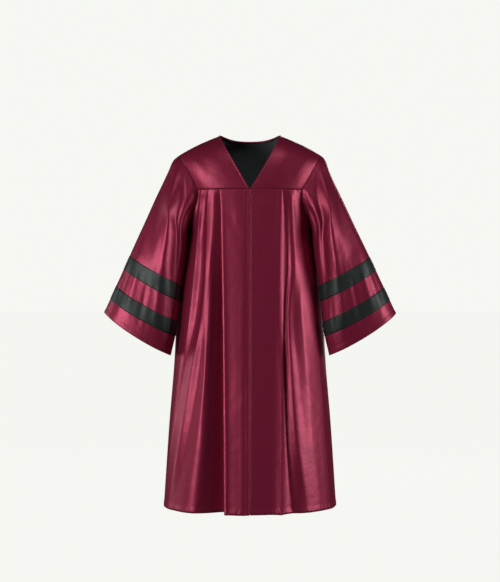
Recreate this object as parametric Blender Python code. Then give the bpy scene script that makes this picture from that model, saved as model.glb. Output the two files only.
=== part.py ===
"""A graduation gown, standing hollow as worn: yokes, pleated fronts and back, bell sleeves with two bars, and a zip.

Metres, +Z up. The front faces -Y and the wearer's left is at +X. The origin is midway between the neck points, at
the height of the shoulder line, where the wearer's shoulders carry the gown.
"""

import math
from typing import NamedTuple

import bmesh
import bpy
import numpy as np

MM = 0.001

# Driving dimensions
GOWN_LENGTH = 1.281
WALL = 1.5 * MM
BAND_WALL = 1.0 * MM
SEAM_GAP = 0.4 * MM

NECK_HALF_WIDTH = 0.0999
SHOULDER_TIP = np.array([0.2445, 0.0, -0.0677])
SHOULDER_FULLNESS = 4.5 * MM
BACK_NECK = np.array([0.0, 0.075, -0.0118])
FRONT_SEAM_Z = -0.193
BACK_SEAM_Z = -0.180
YOKE_CORNER_X = 0.178
V_END_X = 1.5 * MM
V_BOW = 16 * MM
ARMHOLE_BOW = 3 * MM
SEAM_BLEND = 60 * MM
BACK_PANEL_X = 0.072
UNDERARM_Z = -0.338
SIDE_LINE_Y = 0.020
ROUNDNESS = 2.3

ZIP_BOTTOM_Z = -1.16
ZIP_HALF_WIDTH = 11 * MM
ZIP_HALF_CHAIN = 2.5 * MM
ZIP_TAPE = 0.9 * MM
ZIP_CHAIN = 2.4 * MM

MAROON = (0.250, 0.016, 0.052)
BLACK = (0.012, 0.014, 0.013)


class Level(NamedTuple):
    """The bare form of the body at one height: half its width, and how deep it is before and behind."""

    z: float
    half_width: float
    front: float
    back: float


FORM = (
    Level(FRONT_SEAM_Z, 0.2150, 0.1250, 0.1180),
    Level(UNDERARM_Z, 0.2160, 0.1350, 0.1290),
    Level(-0.430, 0.2320, 0.1415, 0.1360),
    Level(-0.507, 0.2460, 0.1460, 0.1410),
    Level(-0.640, 0.2565, 0.1560, 0.1500),
    Level(-0.778, 0.2635, 0.1655, 0.1590),
    Level(-1.000, 0.2815, 0.1850, 0.1730),
    Level(-GOWN_LENGTH, 0.3000, 0.2095, 0.1920),
)


class Fold(NamedTuple):
    """One fold line from the yoke seam to the hem: how far across, and how far out of the form (in is negative).

    All in millimetres, at the seam, the chest, the knee and the hem. Steps is the columns up to the next line.
    """

    name: str
    across: tuple
    out: tuple
    steps: int


FOLD_LEVELS = (FRONT_SEAM_Z, -0.450, -0.800, -GOWN_LENGTH)

# The wearer's right front, from the zip to the side
RIGHT_FRONT = (
    Fold("centre edge", (0.75, 0.75, 0.75, 0.75), (0, 0, -3, -9), 1),
    Fold("fly ridge", (7, 7, 7, 7), (0, 1, 0, -6), 2),
    Fold("panel middle", (47, 47, 44, 43), (0, 4, 5, 1), 3),
    Fold("panel edge", (100, 94, 89.5, 84.5), (0, 3, 3, -4), 2),
    Fold("deep pleat wall", (106, 103, 101, 99), (0, -19, -34, -58), 2),
    Fold("deep pleat", (112, 114, 121, 124), (0, -27, -55, -84), 2),
    Fold("deep pleat rise", (120, 128, 140, 156), (0, -17, -40, -60), 2),
    Fold("second pleat", (134, 143, 162, 199), (0, -3, -16, -21), 2),
    Fold("second hollow", (148, 163, 190, 222), (0, -15, -17, -24), 2),
    Fold("side swell", (164, 194, 228, 247), (0, -2, -2, -3), 3),
)

# The wearer's left front, from the zip to the side
LEFT_FRONT = (
    Fold("centre edge", (0.75, 0.75, 0.75, 0.75), (0, 0, -4, -12), 1),
    Fold("fly ridge", (7, 7, 7, 7), (0, 0, -5, -11), 2),
    Fold("panel middle", (50, 50, 50, 47), (0, 2, -2, -1), 3),
    Fold("panel edge", (108, 103, 103, 110), (0, 4, 6, 6), 2),
    Fold("deep pleat wall", (115, 114, 118, 127), (0, -13, -18, -16), 2),
    Fold("deep pleat", (122, 126, 136, 146), (0, -24, -34, -32), 2),
    Fold("deep pleat rise", (133, 142, 158, 168), (0, -14, -18, -26), 2),
    Fold("broad swell", (146, 165, 192, 208), (0, -1, -1, -16), 2),
    Fold("side hollow", (157, 185, 219, 238), (0, -7, -11, -26), 2),
    Fold("side swell", (168, 205, 240, 267), (0, -4, -5, -14), 2),
)

# The back, from its middle to the wearer's left side and to the right side
LEFT_BACK = (
    Fold("middle", (0, 0, 0, 0), (0, 3, 5, 4), 3),
    Fold("inner hollow", (26, 28, 32, 36), (0, -9, -16, -22), 3),
    Fold("inner swell", (48, 52, 60, 68), (0, 3, 3, 4), 3),
    Fold("middle hollow", (70, 78, 92, 106), (0, -14, -26, -38), 3),
    Fold("middle swell", (93, 104, 124, 145), (0, 2, 2, 3), 3),
    Fold("outer hollow", (116, 131, 158, 184), (0, -13, -24, -36), 3),
    Fold("outer swell", (138, 160, 192, 222), (0, 1, 1, -2), 3),
    Fold("side hollow", (155, 188, 221, 253), (0, -6, -9, -14), 3),
)
RIGHT_BACK = (
    Fold("middle", (0, 0, 0, 0), (0, 3, 5, 4), 3),
    Fold("inner hollow", (22, 25, 31, 38), (0, -11, -20, -30), 3),
    Fold("inner swell", (45, 50, 61, 73), (0, 2, 2, 2), 3),
    Fold("middle hollow", (66, 73, 88, 104), (0, -12, -20, -27), 3),
    Fold("middle swell", (88, 99, 119, 139), (0, 3, 4, 6), 3),
    Fold("outer hollow", (112, 128, 156, 186), (0, -15, -29, -43), 3),
    Fold("outer swell", (137, 161, 195, 228), (0, 1, 0, -4), 3),
    Fold("side hollow", (156, 190, 224, 257), (0, -6, -8, -12), 3),
)


class Flute(NamedTuple):
    """A fold of the sleeve: its place round the sleeve in degrees from the top, its width, and its height in mm."""

    name: str
    head_deg: float
    cuff_deg: float
    width_deg: float
    head_mm: float
    middle_mm: float
    cuff_mm: float


FRONT_FLUTES = (
    Flute("outer hollow", 16, 62, 17, -5, -7, -3),
    Flute("main ridge", 30, 100, 17, 10, 9, 2),
    Flute("deep hollow", 52, 138, 16, -13, -13, -3),
    Flute("inner ridge", 72, 158, 13, 9, 5, 1),
    Flute("underarm hollow", 100, 170, 14, -7, -3, 0),
)
BACK_FLUTES = (
    Flute("outer hollow", 16, 40, 16, -5, -6, -2),
    Flute("main ridge", 32, 78, 17, 9, 8, 3),
    Flute("deep hollow", 56, 112, 17, -11, -10, -4),
    Flute("inner ridge", 80, 146, 15, 8, 5, 2),
)

# The sleeves' upper and under edges as points from the armhole to the cuff: x, y and z, set at +X
RIGHT_SLEEVE_TOP = np.array([
    [0.2445, 0.000, -0.0677],
    [0.2650, -0.001, -0.0850],
    [0.2850, -0.004, -0.1260],
    [0.3570, -0.012, -0.2918],
    [0.4310, -0.017, -0.4560],
    [0.5020, -0.020, -0.6110],
])
LEFT_SLEEVE_TOP = np.array([
    [0.2445, 0.000, -0.0677],
    [0.2590, -0.001, -0.0820],
    [0.2770, -0.004, -0.1260],
    [0.3495, -0.012, -0.2918],
    [0.4280, -0.017, -0.4560],
    [0.5030, -0.020, -0.6145],
])
SLEEVE_UNDER = np.array([
    [0.2160, SIDE_LINE_Y, UNDERARM_Z],
    [0.2235, -0.006, -0.3620],
    [0.2315, -0.040, -0.4300],
    [0.2400, -0.058, -0.5070],
    [0.2510, -0.060, -0.6400],
    [0.2590, -0.057, -0.7000],
    [0.2722, -0.052, -0.7590],
])


class SleeveLevel(NamedTuple):
    """A place on the sleeve: its share of the upper edge, the share of the under edge left, and half the depth."""

    down: float
    under_left: float
    half_depth: float


SLEEVE_FORM = (
    SleeveLevel(0.0, 1.0, 0.085),
    SleeveLevel(0.15, 0.900, 0.088),
    SleeveLevel(0.50, 0.650, 0.080),
    SleeveLevel(0.6455, 0.530, 0.076),
    SleeveLevel(0.7290, 0.408, 0.073),
    SleeveLevel(0.8335, 0.259, 0.070),
    SleeveLevel(0.9156, 0.147, 0.067),
    SleeveLevel(1.0, 0.0, 0.064),
)
CUFF_BOW = 9 * MM
SLEEVE_ROWS = (0.0, 0.025, 0.06, 0.11, 0.17, 0.25, 0.34, 0.44, 0.54, 0.6455, 0.7290, 0.8335, 0.9156, 1.0)

# The sleeve rows between which each bar lies
BAR_ROWS = {"upper": (9, 10), "lower": (11, 12)}

# Shares of the way across and down a yoke; the first step is as wide as the neck's binding
YOKE_ACROSS = (0.0, 0.04, 0.20, 0.40, 0.60, 0.80, 1.0)
NECK_ACROSS = (0.0, 0.2, 0.4, 0.6, 0.8)
YOKE_DOWN = (0.0, 0.035, 0.14, 0.27, 0.40, 0.54, 0.69, 0.84, 1.0)
ARMHOLE_ROWS = 8
SKIRT_ROWS = (-0.385, -0.440, -0.510, -0.600, -0.710, -0.840, -0.980, -1.130, -GOWN_LENGTH)


def smooth_track(at, levels, values):
    """A smooth curve through one value at each level, with no overshoot at its ends."""
    levels = np.asarray(levels, float)
    values = np.asarray(values, float)
    order = np.argsort(levels)
    levels, values = levels[order], values[order]
    chords = np.diff(values) / np.diff(levels)
    slopes = np.empty_like(values)
    slopes[0], slopes[-1] = chords[0], chords[-1]
    for i in range(1, len(values) - 1):
        before, after = chords[i - 1], chords[i]
        slopes[i] = 0.0 if before * after <= 0 else 2 * before * after / (before + after)
    at = np.clip(at, levels[0], levels[-1])
    i = np.clip(np.searchsorted(levels, at) - 1, 0, len(levels) - 2)
    h = levels[i + 1] - levels[i]
    t = (at - levels[i]) / h
    return (
        (1 + 2 * t) * (1 - t) ** 2 * values[i]
        + t * (1 - t) ** 2 * h * slopes[i]
        + t**2 * (3 - 2 * t) * values[i + 1]
        + t**2 * (t - 1) * h * slopes[i + 1]
    )


def form_at(z):
    """Half width, front depth and back depth of the bare form at a height."""
    levels = [level.z for level in FORM]
    return tuple(float(smooth_track(z, levels, [level[i] for level in FORM])) for i in (1, 2, 3))


def form_depth(across, half_width, reach):
    """How far the form's outline stands before or behind the side line, at a distance across."""
    share = min(abs(across) / half_width, 0.999)
    return reach * (1 - share**ROUNDNESS) ** (1 / ROUNDNESS)


def smooth_step(share):
    """A share from 0 to 1 that starts and ends gently."""
    share = min(max(share, 0.0), 1.0)
    return share * share * (3 - 2 * share)


def bezier(start, control, end, t):
    """A point of the quadratic curve from start to end."""
    return (1 - t) ** 2 * start + 2 * t * (1 - t) * control + t**2 * end


def mirrored(points):
    """The same points on the other side of the gown."""
    return points * np.array([-1.0, 1.0, 1.0])


def seam_point(across, front):
    """The yoke seam at a distance across: on the front, or on the back."""
    z = FRONT_SEAM_Z if front else BACK_SEAM_Z
    half_width, ahead, behind = form_at(FRONT_SEAM_Z)
    if front:
        return np.array([across, -form_depth(across, half_width, ahead), z])
    return np.array([across, form_depth(across, half_width, behind), z])


def shoulder_line(s):
    """The shoulder seam from the neck point to the shoulder tip, a little full in the middle."""
    neck_point = np.array([NECK_HALF_WIDTH, 0.0, 0.0])
    point = neck_point + (SHOULDER_TIP - neck_point) * s
    point[2] += SHOULDER_FULLNESS * math.sin(math.pi * s)
    return point


def yoke_front_point(s, t):
    """The wearer's left front yoke: s runs from the neck to the armhole and t from the shoulder to the seam."""
    top = shoulder_line(s)
    low = seam_point(V_END_X + (YOKE_CORNER_X - V_END_X) * s, True)
    bow = V_BOW * (1 - s) + ARMHOLE_BOW * s
    control = np.array([top[0] + bow, low[1], top[2]])
    return bezier(top, control, low, t)


def yoke_back_point(u, t):
    """The back yoke: u runs from its middle (0) past the neck point (1) to the left armhole (2)."""
    if u <= 1:
        angle = u * math.pi / 2
        top = np.array([
            NECK_HALF_WIDTH * math.sin(angle),
            BACK_NECK[1] * math.cos(angle) ** 1.1 if u < 1 else 0.0,
            BACK_NECK[2] * (1 - math.sin(angle) ** 1.5) ** 2,
        ])
        low = seam_point(BACK_PANEL_X * u, False)
        fall = 0.034 * math.cos(angle)
    else:
        top = shoulder_line(u - 1)
        low = seam_point(BACK_PANEL_X + (YOKE_CORNER_X - BACK_PANEL_X) * (u - 1), False)
        fall = 0.0
    control = np.array([top[0] * 0.6 + low[0] * 0.4 if u <= 1 else top[0], low[1] - 2 * MM, top[2] - fall])
    return bezier(top, control, low, t)


def armhole_side(z, front):
    """Where the armhole cuts the body's panel, between the yoke corner and the underarm, on the bare form."""
    corner = seam_point(YOKE_CORNER_X, front)
    low = np.array([form_at(UNDERARM_Z)[0], SIDE_LINE_Y, UNDERARM_Z])
    control = np.array([corner[0], corner[1] * 0.75, UNDERARM_Z + 26 * MM])
    path = bezier(corner, control, low, np.linspace(0, 1, 80)[:, None])
    y = float(np.interp(-z, -path[:, 2], path[:, 1]))
    half_width, ahead, behind = form_at(z)
    reach = ahead + SIDE_LINE_Y if front else behind - SIDE_LINE_Y
    across = form_depth(abs(y - SIDE_LINE_Y), reach, half_width)
    ease = smooth_step((corner[2] - z) / SEAM_BLEND)
    return np.array([corner[0] * (1 - ease) + across * ease, y, z])


def side_point(z, front):
    """The outer edge of a body panel: the armhole above the underarm, the side seam below it."""
    if z > UNDERARM_Z:
        return armhole_side(z, front)
    return np.array([form_at(z)[0], SIDE_LINE_Y, z])


def section_keys(folds, z, front):
    """The fold lines' points at a height, from the panel's middle edge to its outer edge, at +X."""
    seam_z = FRONT_SEAM_Z if front else BACK_SEAM_Z
    levels = (seam_z, *FOLD_LEVELS[1:])
    half_width, ahead, behind = form_at(z)
    side = SIDE_LINE_Y if front else -SIDE_LINE_Y
    reach = (ahead if front else behind) + side
    blend = smooth_step((seam_z - z) / SEAM_BLEND)
    keys = []
    for fold in folds:
        across = float(smooth_track(z, levels, fold.across)) * MM
        out = float(smooth_track(z, levels, fold.out)) * MM
        at_seam = abs(seam_point(across, front)[1])
        on_form = form_depth(across, half_width, reach) - side
        depth = (1 - blend) * at_seam + blend * on_form + out
        keys.append(np.array([across, -depth if front else depth, z]))
    keys.append(side_point(z, front))
    return keys


def spline(keys, steps, before, after):
    """Points of a smooth curve through the keys, with a given number of steps in each stretch."""
    ends = [before, *keys, after]
    points = []
    for i, count in enumerate(steps):
        p0, p1, p2, p3 = ends[i : i + 4]
        d1 = max(np.linalg.norm(p1 - p0), 1e-6) ** 0.5
        d2 = max(np.linalg.norm(p2 - p1), 1e-6) ** 0.5
        d3 = max(np.linalg.norm(p3 - p2), 1e-6) ** 0.5
        m1 = (p2 - p1) + d2 * ((p1 - p0) / d1 - (p2 - p0) / (d1 + d2))
        m2 = (p2 - p1) + d2 * ((p3 - p2) / d3 - (p3 - p1) / (d2 + d3))
        for t in np.arange(count) / count:
            points.append(
                (1 + 2 * t) * (1 - t) ** 2 * p1
                + t * (1 - t) ** 2 * m1
                + t * t * (3 - 2 * t) * p2
                + t * t * (t - 1) * m2
            )
    points.append(keys[-1])
    return points


def panel_section(folds, z, front):
    """One level of a body panel at +X, from its middle edge to its outer edge."""
    keys = section_keys(folds, z, front)
    steps = [fold.steps for fold in folds]
    before = mirrored(keys[1])
    beyond = keys[-1] + (keys[-1] - keys[-2]) * np.array([-0.6, 1.0, 1.0])
    return spline(keys, steps, before, beyond)


def body_rows(front):
    """The heights of a body panel's rows."""
    top = (FRONT_SEAM_Z if front else BACK_SEAM_Z) - SEAM_GAP
    armhole = [top + (UNDERARM_Z - top) * i / ARMHOLE_ROWS for i in range(ARMHOLE_ROWS + 1)]
    return armhole + list(SKIRT_ROWS)


def grid_normals(points, wrap, outward):
    """Unit normals of a grid of points, on the side that outward, a vector for each point, says."""
    down = np.gradient(points, axis=0)
    if wrap:
        along = (np.roll(points, -1, axis=1) - np.roll(points, 1, axis=1)) / 2
    else:
        along = np.gradient(points, axis=1)
    normals = np.cross(down, along)
    normals /= np.maximum(np.linalg.norm(normals, axis=2, keepdims=True), 1e-12)
    facing = np.sign((normals * outward).sum(axis=2, keepdims=True))
    return normals * np.where(facing == 0, 1, facing)


def from_axis(points):
    """The direction of each point away from the body's middle."""
    return points - np.array([0.0, SIDE_LINE_Y, -0.25])


def flattened(normals, axis):
    """Unit normals with no part along an axis, as at a seam that is cut square to it."""
    normals = normals.copy()
    normals[..., axis] = 0
    return normals / np.linalg.norm(normals, axis=-1, keepdims=True)


def add_object(name, verts, faces, material):
    """A closed mesh object, shaded smooth but for its cut edges."""
    mesh = bpy.data.meshes.new(name)
    mesh.from_pydata([tuple(map(float, v)) for v in verts], [], faces)
    solid = bmesh.new()
    solid.from_mesh(mesh)
    bmesh.ops.recalc_face_normals(solid, faces=solid.faces)
    solid.to_mesh(mesh)
    solid.free()
    mesh.shade_smooth()
    mesh.set_sharp_from_angle(angle=math.radians(50))
    mesh.materials.append(material)
    obj = bpy.data.objects.new(name, mesh)
    bpy.context.scene.collection.objects.link(obj)
    return obj


def add_wall(name, outer, inner, wrap, material):
    """A cloth wall between two grids of points, closed all round its edges."""
    rows, columns = outer.shape[:2]
    count = rows * columns
    verts = np.concatenate([outer.reshape(-1, 3), inner.reshape(-1, 3)])
    last = columns if wrap else columns - 1
    faces = []
    for r in range(rows - 1):
        for c in range(last):
            a = r * columns + c
            b = r * columns + (c + 1) % columns
            d, e = a + columns, b + columns
            faces += [(a, b, e), (a, e, d)]
            faces += [(count + a, count + e, count + b), (count + a, count + d, count + e)]
    rims = [[r * columns + c for c in range(columns)] for r in (0, rows - 1)]
    if wrap:
        rims = [rim + rim[:1] for rim in rims]
    else:
        rims += [[r * columns + c for r in range(rows)] for c in (0, columns - 1)]
    for rim in rims:
        for a, b in zip(rim, rim[1:]):
            faces += [(a, b, count + b), (a, count + b, count + a)]
    return add_object(name, verts, faces, material)


def cloth_material(name, colour, roughness):
    """A plain cloth finish."""
    material = bpy.data.materials.new(name)
    material.use_nodes = True
    shader = material.node_tree.nodes["Principled BSDF"]
    shader.inputs["Base Color"].default_value = (*colour, 1)
    shader.inputs["Roughness"].default_value = roughness
    shader.inputs["Metallic"].default_value = 0
    material.diffuse_color = (*colour, 1)
    return material


def yoke_front_grid():
    """The wearer's left front yoke's outer points, by rows from the shoulder to the seam."""
    grid = np.array([[yoke_front_point(s, t) for s in YOKE_ACROSS] for t in YOKE_DOWN])
    grid[0, :, 1] -= SEAM_GAP / 2
    return grid


def yoke_front_normals(grid):
    """The front yoke's normals, square to the seams."""
    normals = grid_normals(grid, False, from_axis(grid))
    normals[0] = flattened(normals[0], 1)
    normals[-1] = flattened(normals[-1], 2)
    return normals


def yoke_back_grid():
    """The back yoke's outer points, from the right armhole to the left one, by rows from the neck to the seam."""
    half = [*NECK_ACROSS, *(1 + s for s in YOKE_ACROSS)]
    rows = []
    for t in YOKE_DOWN:
        left = [yoke_back_point(u, t) for u in half]
        rows.append([mirrored(p) for p in left[:0:-1]] + left)
    grid = np.array(rows)
    grid[0, :, 1] += SEAM_GAP / 2
    return grid


def yoke_back_normals(grid):
    """The back yoke's normals, square to the seams."""
    normals = grid_normals(grid, False, from_axis(grid))
    crest = np.abs(grid[0, :, 0]) >= NECK_HALF_WIDTH - 1e-6
    normals[0, crest] = flattened(normals[0, crest], 1)
    normals[-1] = flattened(normals[-1], 2)
    return normals


def front_grid(folds):
    """A front's outer points at +X, by rows from the seam to the hem."""
    grid = np.array([panel_section(folds, z, True) for z in body_rows(True)])
    below = grid[:, -1, 2] <= UNDERARM_Z + 1e-9
    grid[below, -1, 1] -= SEAM_GAP / 2
    return grid


def panel_normals(grid):
    """A body panel's normals, square to the yoke seam and the side seam."""
    normals = grid_normals(grid, False, from_axis(grid) * np.array([1, 1, 0]))
    normals[0] = flattened(normals[0], 2)
    normals[-1] = flattened(normals[-1], 2)
    below = grid[:, -1, 2] <= UNDERARM_Z + 1e-9
    for column in (0, -1):
        if abs(grid[-1, column, 1] - SIDE_LINE_Y) < MM:
            normals[below, column] = np.array([np.sign(grid[-1, column, 0]), 0, 0])
    return normals


def back_grid():
    """The back's outer points, from the right side to the left side, by rows from the seam to the hem."""
    rows = []
    for z in body_rows(False):
        left = panel_section(LEFT_BACK, z, False)
        right = [mirrored(p) for p in panel_section(RIGHT_BACK, z, False)]
        rows.append(right[:0:-1] + left)
    grid = np.array(rows)
    for column in (0, -1):
        below = grid[:, column, 2] <= UNDERARM_Z + 1e-9
        grid[below, column, 1] += SEAM_GAP / 2
    return grid


def path_point(path, distance):
    """The point of a path at a distance from its far end, on a smooth curve through its points."""
    lengths = np.concatenate([[0], np.cumsum(np.linalg.norm(np.diff(path[::-1], axis=0), axis=1))])
    return np.array([smooth_track(distance, lengths, path[::-1][:, i]) for i in range(3)])


def path_length(path):
    """The length of a path of straight runs."""
    return float(np.linalg.norm(np.diff(path, axis=0), axis=1).sum())


def window(angle, middle, width):
    """A soft hump, 1 at its middle, in degrees."""
    return math.exp(-(((angle - middle) / width) ** 2))


def flute_height(s, degrees):
    """How far the sleeve's folds stand out, round from the top: positive degrees in front, negative behind."""
    flutes = FRONT_FLUTES if degrees >= 0 else BACK_FLUTES
    total = 0.0
    for flute in flutes:
        middle = flute.head_deg + (flute.cuff_deg - flute.head_deg) * s**0.8
        height = float(smooth_track(s, (0, 0.45, 1), (flute.head_mm, flute.middle_mm, flute.cuff_mm)))
        total += height * window(abs(degrees), middle, flute.width_deg)
    return total * MM * smooth_step(s / 0.12)


def loop_angles(loop):
    """Each armhole point's angle round the sleeve: 0 at the shoulder, 180 at the underarm, negative behind."""
    half = len(loop) // 2
    steps = np.linalg.norm(np.roll(loop, -1, axis=0) - loop, axis=1)
    ahead = np.concatenate([[0], np.cumsum(steps[:half])])
    behind = np.concatenate([[0], np.cumsum(steps[half:])])
    return np.concatenate([180 * ahead / ahead[-1], -180 + 180 * behind[1:-1] / behind[-1]])


def sleeve_oval(upper_edge, s, degrees):
    """The sleeve's plain oval, and which way is out of it, at a distance down it and an angle round it."""
    high = path_point(upper_edge, path_length(upper_edge) * (1 - s))
    down = [level.down for level in SLEEVE_FORM]
    share = float(smooth_track(s, down, [level.under_left for level in SLEEVE_FORM]))
    low = path_point(SLEEVE_UNDER, path_length(SLEEVE_UNDER) * share)
    half_depth = float(smooth_track(s, down, [level.half_depth for level in SLEEVE_FORM]))
    reach = np.linalg.norm(high - low) / 2
    up = (high - low) / (2 * reach)
    ahead = np.array([0.0, -1.0, 0.0]) + up * up[1]
    ahead /= np.linalg.norm(ahead)
    down = np.cross(up, ahead)
    down *= -np.sign(down[2])
    angle = math.radians(degrees)
    point = (high + low) / 2 + up * reach * math.cos(angle) + ahead * half_depth * math.sin(angle)
    outward = up * math.cos(angle) / reach + ahead * math.sin(angle) / half_depth
    bow = down * CUFF_BOW * s * s * math.sin(angle) ** 2
    return point + bow, outward / np.linalg.norm(outward)


def sleeve_grid(loop, upper_edge):
    """A sleeve's outer points, ring by ring from the armhole's loop, and which way is out at each."""
    angles = loop_angles(loop)
    away = seam_directions(loop)
    rows, outwards = [], []
    for s in SLEEVE_ROWS:
        ease = smooth_step(s / 0.25)
        ring, outs = [], []
        for start, degrees, off in zip(loop, angles, away):
            point, outward = sleeve_oval(upper_edge, s, degrees)
            residue = start - sleeve_oval(upper_edge, 0, degrees)[0]
            ring.append(point + residue * (1 - ease) + outward * flute_height(s, degrees) + off * SEAM_GAP)
            outs.append(outward)
        rows.append(ring)
        outwards.append(outs)
    return np.array(rows), np.array(outwards)


def seam_directions(loop):
    """The way out of the armhole at each of its points, square to the armhole's edge."""
    tangents = np.roll(loop, -1, axis=0) - np.roll(loop, 1, axis=0)
    tangents /= np.linalg.norm(tangents, axis=1, keepdims=True)
    out = np.array([1.0, 0.0, 0.0])
    away = out - tangents * (tangents @ out)[:, None]
    return away / np.linalg.norm(away, axis=1, keepdims=True)


def leaned(normals, away, sign):
    """Normals with no part toward the next piece, so that a wall's cut edge leaves that piece clear."""
    lean = sign * np.maximum(sign * (normals * away).sum(axis=1, keepdims=True), 0)
    normals = normals - away * lean
    return normals / np.linalg.norm(normals, axis=1, keepdims=True)


def armhole_loop(yoke_front, front, yoke_back, back):
    """The armhole's points: down the front from the shoulder tip to the underarm, then up the back."""
    ahead = [*yoke_front[:, -1], *front[1 : ARMHOLE_ROWS + 1, -1]]
    behind = [*yoke_back[:, -1], *back[1 : ARMHOLE_ROWS + 1, -1]]
    return np.array(ahead + behind[-2:0:-1])


def side_grids(folds, left):
    """The outer points and normals of a front, its yoke and its sleeve, all set at +X."""
    yoke = yoke_front_grid()
    front = front_grid(folds)
    yoke_back = yoke_back_grid()
    back = back_grid()
    if not left:
        yoke_back = mirrored(yoke_back[:, ::-1])
        back = mirrored(back[:, ::-1])
    loop = armhole_loop(yoke, front, yoke_back, back)
    away = seam_directions(loop)
    yoke_normals = yoke_front_normals(yoke)
    front_normals = panel_normals(front)
    count = len(YOKE_DOWN)
    rows = slice(1, ARMHOLE_ROWS)
    yoke_normals[:, -1] = leaned(yoke_normals[:, -1], away[:count], -1)
    front_normals[rows, -1] = leaned(front_normals[rows, -1], away[count : count + ARMHOLE_ROWS - 1], -1)
    sleeve, outward = sleeve_grid(loop, LEFT_SLEEVE_TOP if left else RIGHT_SLEEVE_TOP)
    sleeve_normals = grid_normals(sleeve, True, outward)
    sleeve_normals[0] = leaned(sleeve_normals[0], away, 1)
    return {
        "yoke_front": (yoke, yoke_normals),
        "front": (front, front_normals),
        "sleeve": (sleeve, sleeve_normals),
    }


def moved(grid, normals, distance):
    """A grid of points moved along its normals."""
    return grid + normals * distance


def build_side(name, folds, left, maroon, black):
    """One side of the gown: its front yoke with the neck's binding, its front, and its sleeve with two bars."""
    grids = side_grids(folds, left)
    if not left:
        grids = {piece: (mirrored(grid), mirrored(normals)) for piece, (grid, normals) in grids.items()}
    for piece, (grid, normals) in grids.items():
        add_wall(f"{piece}_{name}", grid, moved(grid, normals, -WALL), piece == "sleeve", maroon)
    yoke, yoke_normals = grids["yoke_front"]
    low = moved(yoke[:, :2], yoke_normals[:, :2], SEAM_GAP)
    high = moved(yoke[:, :2], yoke_normals[:, :2], SEAM_GAP + BAND_WALL)
    add_wall(f"neck_binding_{name}", high, low, False, maroon)
    sleeve, sleeve_normals = grids["sleeve"]
    for bar, (first, last) in BAR_ROWS.items():
        rows = slice(first, last + 1)
        low = moved(sleeve[rows], sleeve_normals[rows], SEAM_GAP)
        high = moved(sleeve[rows], sleeve_normals[rows], SEAM_GAP + BAND_WALL)
        add_wall(f"bar_{bar}_{name}", high, low, True, black)
    return grids


def build_back(maroon, black):
    """The back yoke with the neck's binding and its black lining, and the two halves of the back."""
    yoke = yoke_back_grid()
    normals = yoke_back_normals(yoke)
    left_edge, right_edge = yoke[:, -1], mirrored(yoke[:, 0])
    normals[:, -1] = leaned(normals[:, -1], seam_directions(left_edge), -1)
    normals[:, 0] = mirrored(leaned(mirrored(normals[:, 0]), seam_directions(right_edge), -1))
    add_wall("yoke_back", yoke, moved(yoke, normals, -WALL), False, maroon)
    lining_start = -WALL - SEAM_GAP
    inset = slice(1, -1)
    outer = moved(yoke[:, inset], normals[:, inset], lining_start)
    inner = moved(yoke[:, inset], normals[:, inset], lining_start - BAND_WALL)
    add_wall("yoke_lining", outer, inner, False, black)
    middle = len(yoke[0]) // 2
    reach = len(NECK_ACROSS)
    neck = slice(middle - reach + 1, middle + reach)
    low = moved(yoke[:2, neck], normals[:2, neck], SEAM_GAP)
    high = moved(yoke[:2, neck], normals[:2, neck], SEAM_GAP + BAND_WALL)
    add_wall("neck_binding_back", high, low, False, maroon)
    back = back_grid()
    back_normals = panel_normals(back)
    centre = back.shape[1] // 2
    for side, sign, columns, seam in (("left", 1, slice(centre, None), 0), ("right", -1, slice(centre + 1), -1)):
        half, half_normals = back[:, columns].copy(), back_normals[:, columns].copy()
        half[:, seam, 0] += sign * SEAM_GAP / 2
        half_normals[:, seam] = flattened(half_normals[:, seam], 0)
        add_wall(f"back_{side}", half, moved(half, half_normals, -WALL), False, maroon)


def build_zip(left, right, black):
    """The closed zip behind the fronts' edges: a tape with a thicker chain along its middle."""
    half = (ZIP_HALF_CHAIN, ZIP_HALF_CHAIN + MM, ZIP_HALF_WIDTH)
    stations = (*(-x for x in half[::-1]), *half)
    thick = (ZIP_TAPE, ZIP_TAPE, ZIP_CHAIN, ZIP_CHAIN, ZIP_TAPE, ZIP_TAPE)
    outer, inner = [], []
    for row in range(1, len(left[0])):
        z = float(left[0][row, 0, 2])
        if z < ZIP_BOTTOM_Z:
            break
        near = [moved(grid[row, :3], normals[row, :3], -WALL) for grid, normals in (left, right)]
        y = max(float(points[:, 1].max()) for points in near) + SEAM_GAP
        outer.append([[x, y, z] for x in stations])
        inner.append([[x, y + depth, z] for x, depth in zip(stations, thick)])
    add_wall("zip", np.array(outer), np.array(inner), False, black)


def main():
    """Clear the scene and make every piece of the gown."""
    for obj in list(bpy.data.objects):
        bpy.data.objects.remove(obj)
    maroon = cloth_material("maroon_satin", MAROON, 0.42)
    black = cloth_material("black_cloth", BLACK, 0.6)
    left = build_side("left", LEFT_FRONT, True, maroon, black)
    right = build_side("right", RIGHT_FRONT, False, maroon, black)
    build_back(maroon, black)
    build_zip(left["front"], right["front"], black)


main()
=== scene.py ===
"""A graduation gown of maroon satin, standing hollow as worn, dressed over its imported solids.

Metres, +Z up. The front faces -Y and the wearer's left is at +X. Each panel of cloth is made again, much
finer than its solid, on the same form and between the same seams, with its pleats, creases, gathers,
stitches and weave. The folds of the fronts and the sleeves are placed anew, not where the solids have them.
"""

from __future__ import annotations

import logging
import math
from dataclasses import dataclass
from enum import Enum

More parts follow.
